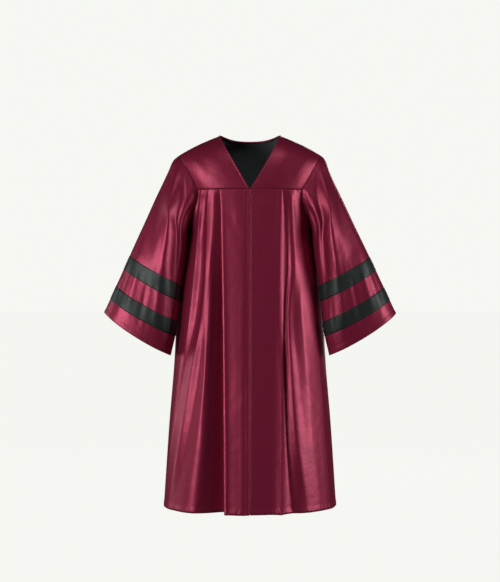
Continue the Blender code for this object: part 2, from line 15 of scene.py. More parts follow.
import bmesh
import bpy
import numpy as np
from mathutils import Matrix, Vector

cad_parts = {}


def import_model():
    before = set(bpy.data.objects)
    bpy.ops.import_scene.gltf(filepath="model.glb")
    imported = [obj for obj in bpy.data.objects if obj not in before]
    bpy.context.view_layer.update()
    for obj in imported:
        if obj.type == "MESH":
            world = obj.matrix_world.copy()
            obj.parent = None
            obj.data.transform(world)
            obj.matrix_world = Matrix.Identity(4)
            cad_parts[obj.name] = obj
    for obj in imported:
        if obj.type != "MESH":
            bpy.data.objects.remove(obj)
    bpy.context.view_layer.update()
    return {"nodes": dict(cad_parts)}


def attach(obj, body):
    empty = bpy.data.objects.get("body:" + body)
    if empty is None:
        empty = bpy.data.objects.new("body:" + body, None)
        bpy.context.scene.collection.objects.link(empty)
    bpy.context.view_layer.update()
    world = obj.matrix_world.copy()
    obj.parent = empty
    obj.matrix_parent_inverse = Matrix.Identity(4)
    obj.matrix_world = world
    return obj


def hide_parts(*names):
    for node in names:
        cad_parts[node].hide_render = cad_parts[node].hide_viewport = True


MM = 0.001
SHELL = 0.9 * MM
SEAM_GAP = 0.4 * MM
SOLID_WALL = 1.5 * MM

Array = np.ndarray
log = logging.getLogger("gown")


class Side(Enum):
    """The wearer's side a piece is on. Pieces are shaped at +X and then placed."""

    LEFT = 1.0
    RIGHT = -1.0

    @property
    def word(self) -> str:
        """The side as it stands in a node's name."""
        return self.name.lower()

    def place(self, points: Array) -> Array:
        """Points or directions shaped at +X, on this side."""
        return points * np.array([self.value, 1.0, 1.0])


class Face(Enum):
    """Whether a panel is on the front of the body or on the back."""

    FRONT = -1.0
    BACK = 1.0


class Held(Enum):
    """How a panel of cloth hangs, in the frame's own words."""

    HUNG = "hung"
    GATHERED = "gathered"
    STRETCHED = "stretched"


# Curves and cloth arithmetic


def smooth_track(at: Array | float, levels: Array, values: Array) -> Array:
    """A smooth curve through one value at each level, with no overshoot at its ends.

    Args:
        at: where the curve is read.
        levels: the levels, rising or falling.
        values: the value at each level.

    Returns:
        The value at each place that is read.
    """
    levels = np.asarray(levels, float)
    values = np.asarray(values, float)
    order = np.argsort(levels)
    levels, values = levels[order], values[order]
    chords = np.diff(values) / np.diff(levels)
    slopes = np.empty_like(values)
    slopes[0], slopes[-1] = chords[0], chords[-1]
    for i in range(1, len(values) - 1):
        before, after = chords[i - 1], chords[i]
        slopes[i] = 0.0 if before * after <= 0 else 2 * before * after / (before + after)
    at = np.clip(at, levels[0], levels[-1])
    i = np.clip(np.searchsorted(levels, at) - 1, 0, len(levels) - 2)
    h = levels[i + 1] - levels[i]
    t = (at - levels[i]) / h
    return (
        (1 + 2 * t) * (1 - t) ** 2 * values[i]
        + t * (1 - t) ** 2 * h * slopes[i]
        + t**2 * (3 - 2 * t) * values[i + 1]
        + t**2 * (t - 1) * h * slopes[i + 1]
    )


def smooth_step(share: Array | float) -> Array:
    """A share from 0 to 1 that starts and ends gently."""
    share = np.clip(share, 0.0, 1.0)
    return share * share * (3 - 2 * share)


def bezier(start: Array, control: Array, end: Array, t: Array) -> Array:
    """Points of the quadratic curve from start to end."""
    return (1 - t) ** 2 * start + 2 * t * (1 - t) * control + t**2 * end


def run_along(points: Array, axis: int) -> Array:
    """How far each point lies along its row or column, measured on the cloth from the first point."""
    steps = np.linalg.norm(np.diff(points, axis=axis), axis=-1)
    start = np.zeros_like(np.take(steps, [0], axis=axis))
    return np.concatenate([start, np.cumsum(steps, axis=axis)], axis=axis)


def grid_normals(points: Array, wrap: bool, outward: Array) -> Array:
    """Unit normals of a grid of points.

    Args:
        points: the grid, rows by columns by 3.
        wrap: whether the last column meets the first.
        outward: a rough way out of the garment at each point, which settles the side.

    Returns:
        A normal for each point, all on the outer side.
    """
    down = np.gradient(points, axis=0)
    if wrap:
        along = (np.roll(points, -1, axis=1) - np.roll(points, 1, axis=1)) / 2
    else:
        along = np.gradient(points, axis=1)
    normals = np.cross(down, along)
    normals /= np.maximum(np.linalg.norm(normals, axis=2, keepdims=True), 1e-12)
    return normals * np.sign((normals * outward).sum())


class SoftNoise:
    """Slow, smooth unevenness between -1 and 1, the same on each run."""

    def __init__(self, seed: int) -> None:
        """Draws the values that the unevenness passes through."""
        self.values = np.random.RandomState(seed).uniform(-1, 1, (61, 67))

    def at(self, across: Array, down: Array | float = 0.0) -> Array:
        """The unevenness at a place, counted in its own cells."""
        across, down = np.broadcast_arrays(np.asarray(across, float), np.asarray(down, float))
        i, j = np.floor(across).astype(int), np.floor(down).astype(int)
        u, v = smooth_step(across - i), smooth_step(down - j)
        rows, columns = self.values.shape
        near, far = i % rows, (i + 1) % rows
        low, high = j % columns, (j + 1) % columns
        top = self.values[near, low] * (1 - u) + self.values[far, low] * u
        bottom = self.values[near, high] * (1 - u) + self.values[far, high] * u
        return top * (1 - v) + bottom * v


@dataclass(frozen=True)
class Crease:
    """A soft ridge, or a trough where its height is negative. All in millimetres."""

    start: tuple[float, float]
    end: tuple[float, float]
    height: float
    width: float
    bow: float = 0.0

    def lift(self, across: Array, down: Array) -> Array:
        """How far it raises the cloth at each place, fading toward both its ends."""
        (x0, y0), (x1, y1) = self.start, self.end
        length = math.hypot(x1 - x0, y1 - y0)
        ax, ay = (x1 - x0) / length, (y1 - y0) / length
        along = ((across - x0) * ax + (down - y0) * ay) / length
        inside = np.clip(along, 0.0, 1.0)
        aside = (across - x0) * ay - (down - y0) * ax - self.bow * 4 * inside * (1 - inside)
        width = self.width * (0.7 + 0.6 * inside)
        ends = smooth_step(inside / 0.3) * smooth_step((1 - inside) / 0.45)
        return self.height * ends * np.exp(-((aside / width) ** 2))


@dataclass(frozen=True)
class Puckers:
    """Small gathers square to a line of stitches, uneven in spacing and height. All in millimetres."""

    spacing: float
    height: float
    reach: float
    seed: int
    slant: float = 0.0

    def lift(self, along: Array, away: Array) -> Array:
        """How far they raise the cloth, at a place along the stitches and a distance away from them."""
        noise = SoftNoise(self.seed)
        place = along + self.slant * away
        place = place + 0.8 * self.spacing * noise.at(place / (2.2 * self.spacing), 0.37)
        strength = 0.25 + 0.75 * np.abs(noise.at(place / (1.7 * self.spacing), 9.4))
        reach = self.reach * (0.6 + 0.6 * np.abs(noise.at(place / (2.9 * self.spacing), 21.6)))
        waves = self.height * strength * np.sin(2 * math.pi * place / self.spacing)
        return waves * np.exp(-np.abs(away) / reach)


@dataclass(frozen=True)
class Slackness:
    """The slow waviness of cloth that hangs free. All in millimetres."""

    across: float
    down: float
    height: float
    seed: int

    def lift(self, across: Array, down: Array) -> Array:
        """How far it raises the cloth at each place."""
        noise = SoftNoise(self.seed)
        coarse = noise.at(across / self.across + 3.3, down / self.down + 5.1)
        fine = noise.at(across / (0.43 * self.across) + 17.2, down / (0.37 * self.down) + 11.9)
        return self.height * (coarse + 0.35 * fine)


# Finishes


def linear(hex_colour: str) -> tuple[float, float, float, float]:
    """An sRGB hex colour as linear light."""
    shares = [int(hex_colour[i : i + 2], 16) / 255 for i in (1, 3, 5)]
    return (*(c / 12.92 if c <= 0.04045 else ((c + 0.055) / 1.055) ** 2.4 for c in shares), 1.0)


def add_node(tree: bpy.types.NodeTree, kind: str, links: dict | None = None, **settings) -> bpy.types.Node:
    """Adds a shader node.

    Args:
        tree: the material's node tree.
        kind: the node's type.
        links: for each input, by name or number, the socket or the value that goes into it.
        settings: the node's own settings.

    Returns:
        The node.
    """
    node = tree.nodes.new(kind)
    for name, value in settings.items():
        setattr(node, name, value)
    for name, value in (links or {}).items():
        if isinstance(value, bpy.types.NodeSocket):
            tree.links.new(value, node.inputs[name])
        else:
            node.inputs[name].default_value = value
    return node


def new_material(name: str) -> tuple[bpy.types.Material, bpy.types.NodeTree, bpy.types.Node]:
    """An empty material with its shader, which is linked to the output."""
    material = bpy.data.materials.new(name)
    material.use_nodes = True
    tree = material.node_tree
    return material, tree, tree.nodes["Principled BSDF"]


@dataclass(frozen=True)
class SatinFinish:
    """Polyester satin with long floats of bright yarn: a deep colour with broad, soft highlights."""

    name: str
    base: str
    deep: str
    glint: tuple[float, float, float, float]
    roughness: float
    lustre: float
    specular: float = 0.5
    # The real yarns are about 0.15 mm apart, too fine to show, so the weave is drawn 0.7 mm apart
    yarn_mm: float = 0.7
    slub_mm: float = 22.0
    shade_mm: float = 70.0
    crumple_mm: float = 26.0
    crumple: float = 0.4
    # The smooth crowns of the floats add a narrower light over the broad one
    crown: float = 0.12
    crown_roughness: float = 0.31

    def make(self) -> bpy.types.Material:
        """Builds the material on the cloth's own map, which is in metres along and down the panel."""
        material, tree, shader = new_material(self.name)
        cloth = add_node(tree, "ShaderNodeUVMap", uv_map="cloth").outputs["UV"]
        yarns = add_node(
            tree,
            "ShaderNodeMapping",
            {"Vector": cloth, "Scale": (1 / (self.yarn_mm * MM), 1 / (self.slub_mm * MM), 1)},
        ).outputs[0]
        slub = add_node(
            tree, "ShaderNodeTexNoise", {"Vector": yarns, "Scale": 1.0, "Detail": 2.0}
        ).outputs[0]
        shade = add_node(
            tree,
            "ShaderNodeTexNoise",
            {"Vector": cloth, "Scale": 1 / (self.shade_mm * MM), "Detail": 3.0, "Roughness": 0.6},
        ).outputs[0]
        depth = add_node(
            tree, "ShaderNodeMapRange", {0: shade, 1: 0.25, 2: 0.75, 3: 0.0, 4: 0.45}, clamp=True
        ).outputs[0]
        ground = add_node(
            tree, "ShaderNodeMix", {0: depth, 6: linear(self.base), 7: linear(self.deep)}, data_type="RGBA"
        ).outputs[2]
        streaks = add_node(
            tree, "ShaderNodeMapRange", {0: slub, 1: 0.3, 2: 0.7, 3: 0.0, 4: 0.22}, clamp=True
        ).outputs[0]
        colour = add_node(
            tree, "ShaderNodeMix", {0: streaks, 6: ground, 7: linear(self.deep)}, data_type="RGBA"
        ).outputs[2]
        gloss = add_node(
            tree,
            "ShaderNodeMapRange",
            {0: shade, 1: 0.2, 2: 0.8, 3: self.roughness - 0.05, 4: self.roughness + 0.06},
            clamp=True,
        ).outputs[0]
        crumple = add_node(
            tree,
            "ShaderNodeTexNoise",
            {"Vector": cloth, "Scale": 1 / (self.crumple_mm * MM), "Detail": 2.5, "Roughness": 0.5},
        ).outputs[0]
        soft = add_node(
            tree, "ShaderNodeBump", {"Strength": self.crumple, "Distance": 2.0 * MM, "Height": crumple}
        ).outputs[0]
        relief = add_node(
            tree,
            "ShaderNodeBump",
            {"Strength": 0.12, "Distance": 0.15 * MM, "Height": slub, "Normal": soft},
        ).outputs[0]
        tree.links.new(colour, shader.inputs["Base Color"])
        tree.links.new(gloss, shader.inputs["Roughness"])
        tree.links.new(relief, shader.inputs["Normal"])
        shader.inputs["IOR"].default_value = 1.54
        shader.inputs["Specular IOR Level"].default_value = self.specular
        shader.inputs["Specular Tint"].default_value = self.glint
        shader.inputs["Metallic"].default_value = self.lustre
        shader.inputs["Coat Weight"].default_value = self.crown
        shader.inputs["Coat Roughness"].default_value = self.crown_roughness
        tree.links.new(relief, shader.inputs["Coat Normal"])
        return material


@dataclass(frozen=True)
class PlainWeaveFinish:
    """A dull plain or twill weave, for lining, zip tape and the wrong side of satin, with a fine rib."""

    name: str
    base: str
    deep: str
    roughness: float
    # The real ribs are about 0.4 mm apart, and are drawn 1.2 mm apart so that they show close to
    rib_mm: float = 1.2

    def make(self) -> bpy.types.Material:
        """Builds the material on the cloth's own map."""
        material, tree, shader = new_material(self.name)
        cloth = add_node(tree, "ShaderNodeUVMap", uv_map="cloth").outputs["UV"]
        rib = add_node(
            tree,
            "ShaderNodeTexWave",
            {"Vector": cloth, "Scale": 1 / (self.rib_mm * MM) / 20, "Distortion": 1.2, "Detail": 1.0},
            bands_direction="DIAGONAL",
        ).outputs["Fac"]
        shade = add_node(tree, "ShaderNodeTexNoise", {"Vector": cloth, "Scale": 1 / (40 * MM)}).outputs[0]
        colour = add_node(
            tree, "ShaderNodeMix", {0: shade, 6: linear(self.base), 7: linear(self.deep)}, data_type="RGBA"
        ).outputs[2]
        relief = add_node(
            tree, "ShaderNodeBump", {"Strength": 0.2, "Distance": 0.2 * MM, "Height": rib}
        ).outputs[0]
        tree.links.new(colour, shader.inputs["Base Color"])
        tree.links.new(relief, shader.inputs["Normal"])
        shader.inputs["Roughness"].default_value = self.roughness
        shader.inputs["IOR"].default_value = 1.5
        shader.inputs["Specular IOR Level"].default_value = 0.3
        return material


@dataclass(frozen=True)
class ThreadFinish:
    """Spun polyester sewing thread or nylon coil: small, rounded and slightly bright."""

    name: str
    base: str
    roughness: float

    def make(self) -> bpy.types.Material:
        """Builds the material, with its ply as fine noise."""
        material, tree, shader = new_material(self.name)
        place = add_node(tree, "ShaderNodeTexCoord").outputs["Object"]
        ply = add_node(tree, "ShaderNodeTexNoise", {"Vector": place, "Scale": 1 / (1.5 * MM)}).outputs[0]
        dark = tuple(c * 0.6 for c in linear(self.base)[:3]) + (1.0,)
        colour = add_node(
            tree, "ShaderNodeMix", {0: ply, 6: linear(self.base), 7: dark}, data_type="RGBA"
        ).outputs[2]
        tree.links.new(colour, shader.inputs["Base Color"])
        shader.inputs["Roughness"].default_value = self.roughness
        shader.inputs["IOR"].default_value = 1.54
        return material


MAROON_GLINT = (1.0, 0.36, 0.48, 1.0)
MAROON_SATIN = SatinFinish("maroon polyester satin", "#8a203f", "#701731", MAROON_GLINT, 0.43, 0.42, 0.6)
BLACK_GLINT = (0.8, 1.0, 0.95, 1.0)
BLACK_SATIN = SatinFinish("black polyester satin", "#1f2322", "#161a19", BLACK_GLINT, 0.52, 0.1, 0.3)
SATIN_REVERSE = PlainWeaveFinish("maroon satin, wrong side", "#5f1429", "#4a0e1f", 0.75)
BLACK_LINING = PlainWeaveFinish("black twill lining", "#5d6265", "#4f5457", 0.8)
ZIP_TAPE_WEAVE = PlainWeaveFinish("maroon zip tape", "#3d0f1c", "#2a0a13", 0.8)
MAROON_THREAD = ThreadFinish("maroon sewing thread", "#7e2440", 0.5)
BLACK_THREAD = ThreadFinish("black sewing thread", "#191c1b", 0.55)
ZIP_NYLON = ThreadFinish("maroon nylon coil", "#4a1424", 0.35)


class Wardrobe:
    """Makes each finish once and hands out its material."""

    def __init__(self) -> None:
        """Starts with no material made."""
        self.made: dict[str, bpy.types.Material] = {}

    def of(self, finish: SatinFinish | PlainWeaveFinish | ThreadFinish) -> bpy.types.Material:
        """The material of a finish."""
        if finish.name not in self.made:
            self.made[finish.name] = finish.make()
        return self.made[finish.name]


# Sheets of cloth


@dataclass
class Cloth:
    """One panel's outer surface: its points by rows and columns, and the way out of the cloth at each."""

    points: Array
    normals: Array
    wrap: bool = False

    def raised(self, height: Array | float) -> Cloth:
        """The same panel moved out along its normals, by one height or by one for each point."""
        height = np.asarray(height, float)
        points = self.points + self.normals * (height[..., None] if height.ndim else height)
        return Cloth(points, grid_normals(points, self.wrap, self.normals), self.wrap)

    def part(self, rows: slice = slice(None), columns: slice = slice(None)) -> Cloth:
        """Some of its rows and columns, as a panel that isn't closed round unless it keeps every column."""
        whole = self.wrap and columns == slice(None)
        return Cloth(self.points[rows, columns], self.normals[rows, columns], whole)

    def across_line(self, row: float) -> tuple[Array, Array]:
        """Points and normals along a row, which may lie between two rows."""
        low = int(min(max(math.floor(row), 0), len(self.points) - 2))
        share = row - low
        line = self.points[low] * (1 - share) + self.points[low + 1] * share
        normals = self.normals[low] * (1 - share) + self.normals[low + 1] * share
        if self.wrap:
            line, normals = np.vstack([line, line[:1]]), np.vstack([normals, normals[:1]])
        return line, normals

    def down_line(self, column: float) -> tuple[Array, Array]:
        """Points and normals down a column, which may lie between two columns."""
        low = int(min(max(math.floor(column), 0), self.points.shape[1] - 2))
        share = column - low
        points = self.points[:, low] * (1 - share) + self.points[:, low + 1] * share
        return points, self.normals[:, low] * (1 - share) + self.normals[:, low + 1] * share

    def make(
        self, name: str, finish: bpy.types.Material, reverse: bpy.types.Material, thickness: float = SHELL
    ) -> bpy.types.Object:
        """Makes the panel as a thin shell, its outer side where its points are.

        Args:
            name: the piece's name.
            finish: the material of the right side.
            reverse: the material of the wrong side and the cut edges.
            thickness: the cloth's thickness in metres.

        Returns:
            The object, with its shell applied and its own map.
        """
        rows, columns = self.points.shape[:2]
        last = columns if self.wrap else columns - 1
        r, c = np.meshgrid(np.arange(rows - 1), np.arange(last), indexing="ij")
        near, beside, below, opposite = (r, c), (r, c + 1), (r + 1, c), (r + 1, c + 1)
        down = self.points[1:, :last] - self.points[:-1, :last]
        along = self.points[:-1][:, (np.arange(last) + 1) % columns] - self.points[:-1, :last]
        facing = (np.cross(down, along) * self.normals[:-1, :last]).sum()
        corners = (near, below, opposite, beside) if facing > 0 else (near, beside, opposite, below)
        quads = np.stack([row * columns + column % columns for row, column in corners], axis=-1)
        mesh = bpy.data.meshes.new(name)
        mesh.from_pydata(self.points.reshape(-1, 3).tolist(), [], quads.reshape(-1, 4).tolist())
        closed = np.concatenate([self.points, self.points[:, :1]], axis=1) if self.wrap else self.points
        u, v = run_along(closed, 1), run_along(closed, 0)
        chart = [np.stack([u[corner], v[corner]], axis=-1) for corner in corners]
        layer = mesh.uv_layers.new(name="cloth")
        layer.data.foreach_set("uv", np.stack(chart, axis=2).reshape(-1).astype(np.float32))
        mesh.materials.append(finish)
        mesh.materials.append(reverse)
        mesh.shade_smooth()
        piece = bpy.data.objects.new(name, mesh)
        bpy.context.scene.collection.objects.link(piece)
        shell = piece.modifiers.new("shell", "SOLIDIFY")
        shell.thickness = thickness
        shell.offset = -1.0
        shell.material_offset = 1
        shell.material_offset_rim = 0
        applied(piece)
        return piece


def applied(piece: bpy.types.Object) -> bpy.types.Object:
    """Applies a piece's modifiers."""
    bpy.ops.object.select_all(action="DESELECT")
    piece.select_set(True)
    bpy.context.view_layer.objects.active = piece
    for modifier in list(piece.modifiers):
        bpy.ops.object.modifier_apply(modifier=modifier.name)
    piece.select_set(False)
    return piece


# Sewing


@dataclass(frozen=True)
class Topstitch:
    """A line of machine stitches that lies on the cloth. All in millimetres."""

    pitch: float = 3.4
    length: float = 2.7
    width: float = 0.55
    height: float = 0.30

    def run(self, line: Array, normals: Array) -> tuple[Array, Array]:
        """Makes the stitches along a line.

        Args:
            line: points along the seam.
            normals: the way out of the cloth at each.

        Returns:
            The stitches' points and their faces, each stitch a small rounded spindle.
        """
        along = run_along(line, 0)
        count = int(along[-1] / (self.pitch * MM))
        starts = (np.arange(count) + 0.15) * self.pitch * MM
        places = starts[:, None] + np.array([0.0, 0.25, 0.75, 1.0]) * self.length * MM
        centre = np.stack([np.interp(places, along, line[:, k]) for k in range(3)], axis=-1)
        out = np.stack([np.interp(places, along, normals[:, k]) for k in range(3)], axis=-1)
        out /= np.linalg.norm(out, axis=-1, keepdims=True)
        tangent = centre[:, 3:4] - centre[:, :1]
        tangent /= np.maximum(np.linalg.norm(tangent, axis=-1, keepdims=True), 1e-9)
        aside = np.cross(out, tangent) * self.width * MM / 2
        rise = out * self.height * MM
        points = [centre[:, 0], centre[:, 3]]
        for k in (1, 2):
            points += [
                centre[:, k] + aside[:, k],
                centre[:, k] + rise[:, k],
                centre[:, k] - aside[:, k],
                centre[:, k] - rise[:, k] * 0.5,
            ]
        faces = []
        for k in range(4):
            n = (k + 1) % 4
            faces += [(0, 2 + k, 2 + n), (2 + k, 6 + k, 6 + n), (2 + k, 6 + n, 2 + n), (1, 6 + n, 6 + k)]
        verts = np.stack(points, axis=1).reshape(-1, 3)
        offsets = np.arange(count)[:, None, None] * 10
        return verts, (np.array(faces)[None] + offsets).reshape(-1, 3)


class SewingBox:
    """Collects lines of stitches and makes them one piece."""

    def __init__(self, stitch: Topstitch) -> None:
        """Starts with no stitch sewn."""
        self.stitch = stitch
        self.verts: list[Array] = []
        self.faces: list[Array] = []
        self.count = 0

    def sew(self, line: tuple[Array, Array], lift: float = 0.05 * MM) -> None:
        """Adds a line of stitches, a little above the cloth."""
        points, normals = line
        verts, faces = self.stitch.run(points + normals * lift, normals)
        self.verts.append(verts)
        self.faces.append(faces + self.count)
        self.count += len(verts)

    def make(self, name: str, material: bpy.types.Material) -> bpy.types.Object:
        """Makes the piece of all the stitches."""
        mesh = bpy.data.meshes.new(name)
        mesh.from_pydata(np.concatenate(self.verts).tolist(), [], np.concatenate(self.faces).tolist())
        work = bmesh.new()
        work.from_mesh(mesh)
        bmesh.ops.recalc_face_normals(work, faces=work.faces)
        work.to_mesh(mesh)
        work.free()
        mesh.materials.append(material)
        mesh.shade_smooth()
        piece = bpy.data.objects.new(name, mesh)
        bpy.context.scene.collection.objects.link(piece)
        return piece


def declare(piece: bpy.types.Object, slot: str, *nodes: str) -> bpy.types.Object:
    """Lets a piece move with the gown and hides the solids it stands for."""
    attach(piece, "root")
    if nodes:
        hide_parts(*nodes)
    triangles = sum(len(face.vertices) - 2 for face in piece.data.polygons)
    log.info("%s: %d triangles, stands for %s", piece.name, triangles, ", ".join(nodes) or "no solid")
    return piece


@dataclass(frozen=True)
class SeamAllowance:
    """The edges of two panels, turned in and sewn together: a narrow strip inside their seam."""

    width: float = 7 * MM
    depth: float = 1.25 * MM
    thickness: float = 0.35 * MM

    def beside(self, cloth: Cloth, last: bool, z: Array) -> list[Array]:
        """A panel's side edge and the line a little way in from it, both just inside the cloth.

        Args:
            cloth: the panel.
            last: whether the edge is its last column, not its first.
            z: the heights to read the lines at.

        Returns:
            The two lines, the one farther in first.
        """
        points, normals = (grid[:, ::-1] if last else grid for grid in (cloth.points, cloth.normals))
        inside = points - normals * self.depth
        along = run_along(points, 1)
        deeper = np.array(
            [[np.interp(self.width, run, row[:, k]) for k in range(3)] for run, row in zip(along, inside)]
        )
        return [
            np.stack([np.interp(-z, -line[:, 2], line[:, k]) for k in range(3)], axis=-1)
            for line in (deeper, inside[:, 0])
        ]

    def close(
        self, wardrobe: Wardrobe, name: str, lines: list[Array], outward: Array, sewn_to: str
    ) -> None:
        """Makes the strip through lines that run along the seam.

        Args:
            wardrobe: hands out the materials.
            name: the piece's name.
            lines: the lines, in order across the seam.
            outward: a rough way out of the garment at each place along the seam.
            sewn_to: the panel it belongs to; not used.
        """
        points = np.stack(lines, axis=1)
        towards = np.broadcast_to(outward[:, None], points.shape)
        strip = Cloth(points, grid_normals(points, False, towards))
        reverse = wardrobe.of(SATIN_REVERSE)
        piece = declare(strip.make(name, reverse, reverse, self.thickness), "maroon_satin")


# The body's form


@dataclass(frozen=True)
class Level:
    """The bare form of the body at one height: half its width, and how deep it is before and behind."""

    z: float
    half_width: float
    front: float
    back: float


@dataclass(frozen=True)
class BodyForm:
    """The bare form that the body's panels hang from, from the yoke seams to the hem."""

    length: float = 1.281
    front_seam_z: float = -0.193
    back_seam_z: float = -0.180
    underarm_z: float = -0.338
    side_line_y: float = 0.020
    roundness: float = 2.3
    corner_x: float = 0.178
    blend: float = 60 * MM
    levels: tuple[Level, ...] = (
        Level(-0.193, 0.2150, 0.1250, 0.1180),
        Level(-0.338, 0.2160, 0.1350, 0.1290),
        Level(-0.430, 0.2320, 0.1415, 0.1360),
        Level(-0.507, 0.2460, 0.1460, 0.1410),
        Level(-0.640, 0.2565, 0.1560, 0.1500),
        Level(-0.778, 0.2635, 0.1655, 0.1590),
        Level(-1.000, 0.2815, 0.1850, 0.1730),
        Level(-1.281, 0.3000, 0.2095, 0.1920),
    )

    def seam_z(self, face: Face) -> float:
        """The height of the yoke seam."""
        return self.front_seam_z if face is Face.FRONT else self.back_seam_z

    def at(self, z: Array | float) -> tuple[Array, Array, Array]:
        """Half width, front depth and back depth at a height."""
        heights = [level.z for level in self.levels]
        half_width = smooth_track(z, heights, [level.half_width for level in self.levels])
        ahead = smooth_track(z, heights, [level.front for level in self.levels])
        behind = smooth_track(z, heights, [level.back for level in self.levels])
        return half_width, ahead, behind

    def depth(self, across: Array, half_width: Array, reach: Array) -> Array:
        """How far the outline stands before or behind the side line, at a distance across."""
        share = np.minimum(np.abs(across) / half_width, 0.999)
        return reach * (1 - share**self.roundness) ** (1 / self.roundness)

    def seam_depth(self, across: Array, face: Face) -> Array:
        """How far the yoke seam stands before or behind the shoulder line."""
        half_width, ahead, behind = self.at(self.front_seam_z)
        return self.depth(across, half_width, ahead if face is Face.FRONT else behind)

    def seam_point(self, across: Array, face: Face) -> Array:
        """The yoke seam at a distance across."""
        across = np.asarray(across, float)
        depth = self.seam_depth(across, face)
        return np.stack([across, face.value * depth, np.full_like(across, self.seam_z(face))], axis=-1)

    def side_edge(self, z: Array, face: Face) -> Array:
        """A body panel's outer edge: the armhole above the underarm, and the side seam below it."""
        corner = self.seam_point(self.corner_x, face)
        low = np.array([self.at(self.underarm_z)[0], self.side_line_y, self.underarm_z])
        control = np.array([corner[0], corner[1] * 0.75, self.underarm_z + 26 * MM])
        path = bezier(corner, control, low, np.linspace(0, 1, 160)[:, None])
        y = np.interp(-z, -path[:, 2], path[:, 1])
        half_width, ahead, behind = self.at(z)
        reach = ahead + self.side_line_y if face is Face.FRONT else behind - self.side_line_y
        across = self.depth(np.abs(y - self.side_line_y), reach, half_width)
        ease = smooth_step((corner[2] - z) / self.blend)
        above = z > self.underarm_z
        x = np.where(above, corner[0] * (1 - ease) + across * ease, half_width)
        return np.stack([x, np.where(above, y, self.side_line_y), z], axis=-1)


# Pleated panels


@dataclass(frozen=True)
class FoldLine:
    """One line down a panel: how far across, and how far out of the form, in millimetres at each level.

    Crisp is 1 where it is pressed to an edge and 0 where it is round, at its top and at the hem. Columns is
    how many lie between it and the next line.
    """

    name: str
    across: tuple[float, ...]
    out: tuple[float, ...]
    crisp: tuple[float, float] = (0.0, 0.0)
    columns: int = 8


LEVELS_BELOW = (-0.225, -0.300, -0.450, -0.620, -0.800, -1.040, -1.281)

# Each line below has its name, across, out, crisp and columns, in that order, and eight levels: the yoke
# seam, just under it, then at the arm, the chest, the hip, the knee, the shin and the hem

# The wearer's right front, from the zip to the side seam
RIGHT_FRONT = (
    FoldLine("centre edge", (0.4,) * 8,
             (0, 0, 0, 0, -1.5, -3, -6, -9), (1, 1), 5),
    FoldLine("fly ridge", (6,) * 8,
             (0.2, 0.3, 0.3, 0.3, -1, -2.3, -5, -8), (0, 0), 7),
    FoldLine("panel crest", (20, 21, 21, 22, 22, 22, 22, 22),
             (0.3, 0.6, 0.9, 1.4, 1.8, 1.7, 0, -3), (0, 0), 7),
    FoldLine("panel middle", (47, 47, 47, 47, 45, 44, 43.5, 43),
             (0.2, 0.5, 0.6, 0.5, 0.4, 0.3, -2, -5), (0, 0), 7),
    FoldLine("panel rise", (84, 83, 82, 80, 77, 74, 72, 71),
             (0.3, 0.6, 0.6, 0.4, -0.4, -1.4, -4, -8), (0, 0), 7),
    FoldLine("edge roll", (97, 95.7, 93.2, 89.5, 86.5, 84.5, 81.5, 79.5),
             (0.8, 1.8, 2.4, 2.4, 2, 1.2, -1.6, -6), (0, 0), 6),
    FoldLine("panel edge", (101.8, 100.5, 98, 94.3, 91.5, 89.8, 87, 85.5),
             (0.8, 1.5, 1.9, 1.6, 1, 0.2, -3, -7.6), (1, 0.9), 5),
    FoldLine("deep wall", (101.4, 99, 96, 92, 89, 87, 84, 82.5),
             (-0.6, -4, -8, -14, -20, -24, -30, -36), (0.6, 0.4), 5),
    FoldLine("deep pleat", (102.4, 99.5, 96.5, 92.5, 89.5, 87.5, 84.5, 83.5),
             (-0.8, -7, -12, -24, -38, -44, -56, -66), (0, 0), 8),
    FoldLine("deep rise", (108, 108, 108, 110, 113, 119, 126, 140),
             (-0.7, -4.5, -7, -14, -20, -22, -28, -36), (0, 0), 7),
    FoldLine("pleat face", (116, 118, 120, 129, 136, 144, 158, 184),
             (0, -0.8, -1.2, -2.5, -2, -3.5, -6, -11), (0, 0), 6),
    FoldLine("inner ridge", (122, 124, 127, 136, 147, 151, 175, 214),
             (0.3, 0.6, 0.8, 0.6, 0, 0.5, -2, -5), (0, 0), 6),
    FoldLine("inner valley", (131, 134, 138, 145, 155, 173, 211, 262),
             (0.5, 0.6, 0.8, 1, 0.2, -6, -9, -8), (0, 0), 6),
    FoldLine("second pleat", (140, 144, 147, 150, 164, 195, 237, 281),
             (0.6, 0, -0.2, 0.6, -1, 0.5, -1.5, -5), (1, 0), 5),
    FoldLine("second wall", (141.5, 147, 151, 156, 172, 209, 252, 287),
             (-0.6, -5, -9, -9, -8, -5, -6, -8), (0.4, 0), 5),
    FoldLine("second hollow", (146, 153, 158, 167, 184, 221, 263, 291),
             (-0.8, -7, -12, -12, -12, -7, -8, -8), (0, 0), 7),
    FoldLine("third pleat", (164, 169, 175, 187, 205, 231, 268, 293),
             (0.6, -1, -3, -3, -3.5, -4.5, -6, -7), (1, 0), 5),
    FoldLine("third hollow", (167, 174, 184, 201, 223, 243, 274, 296),
             (-0.5, -4, -7, -7, -6, -6, -6, -7), (0, 0), 9),
)

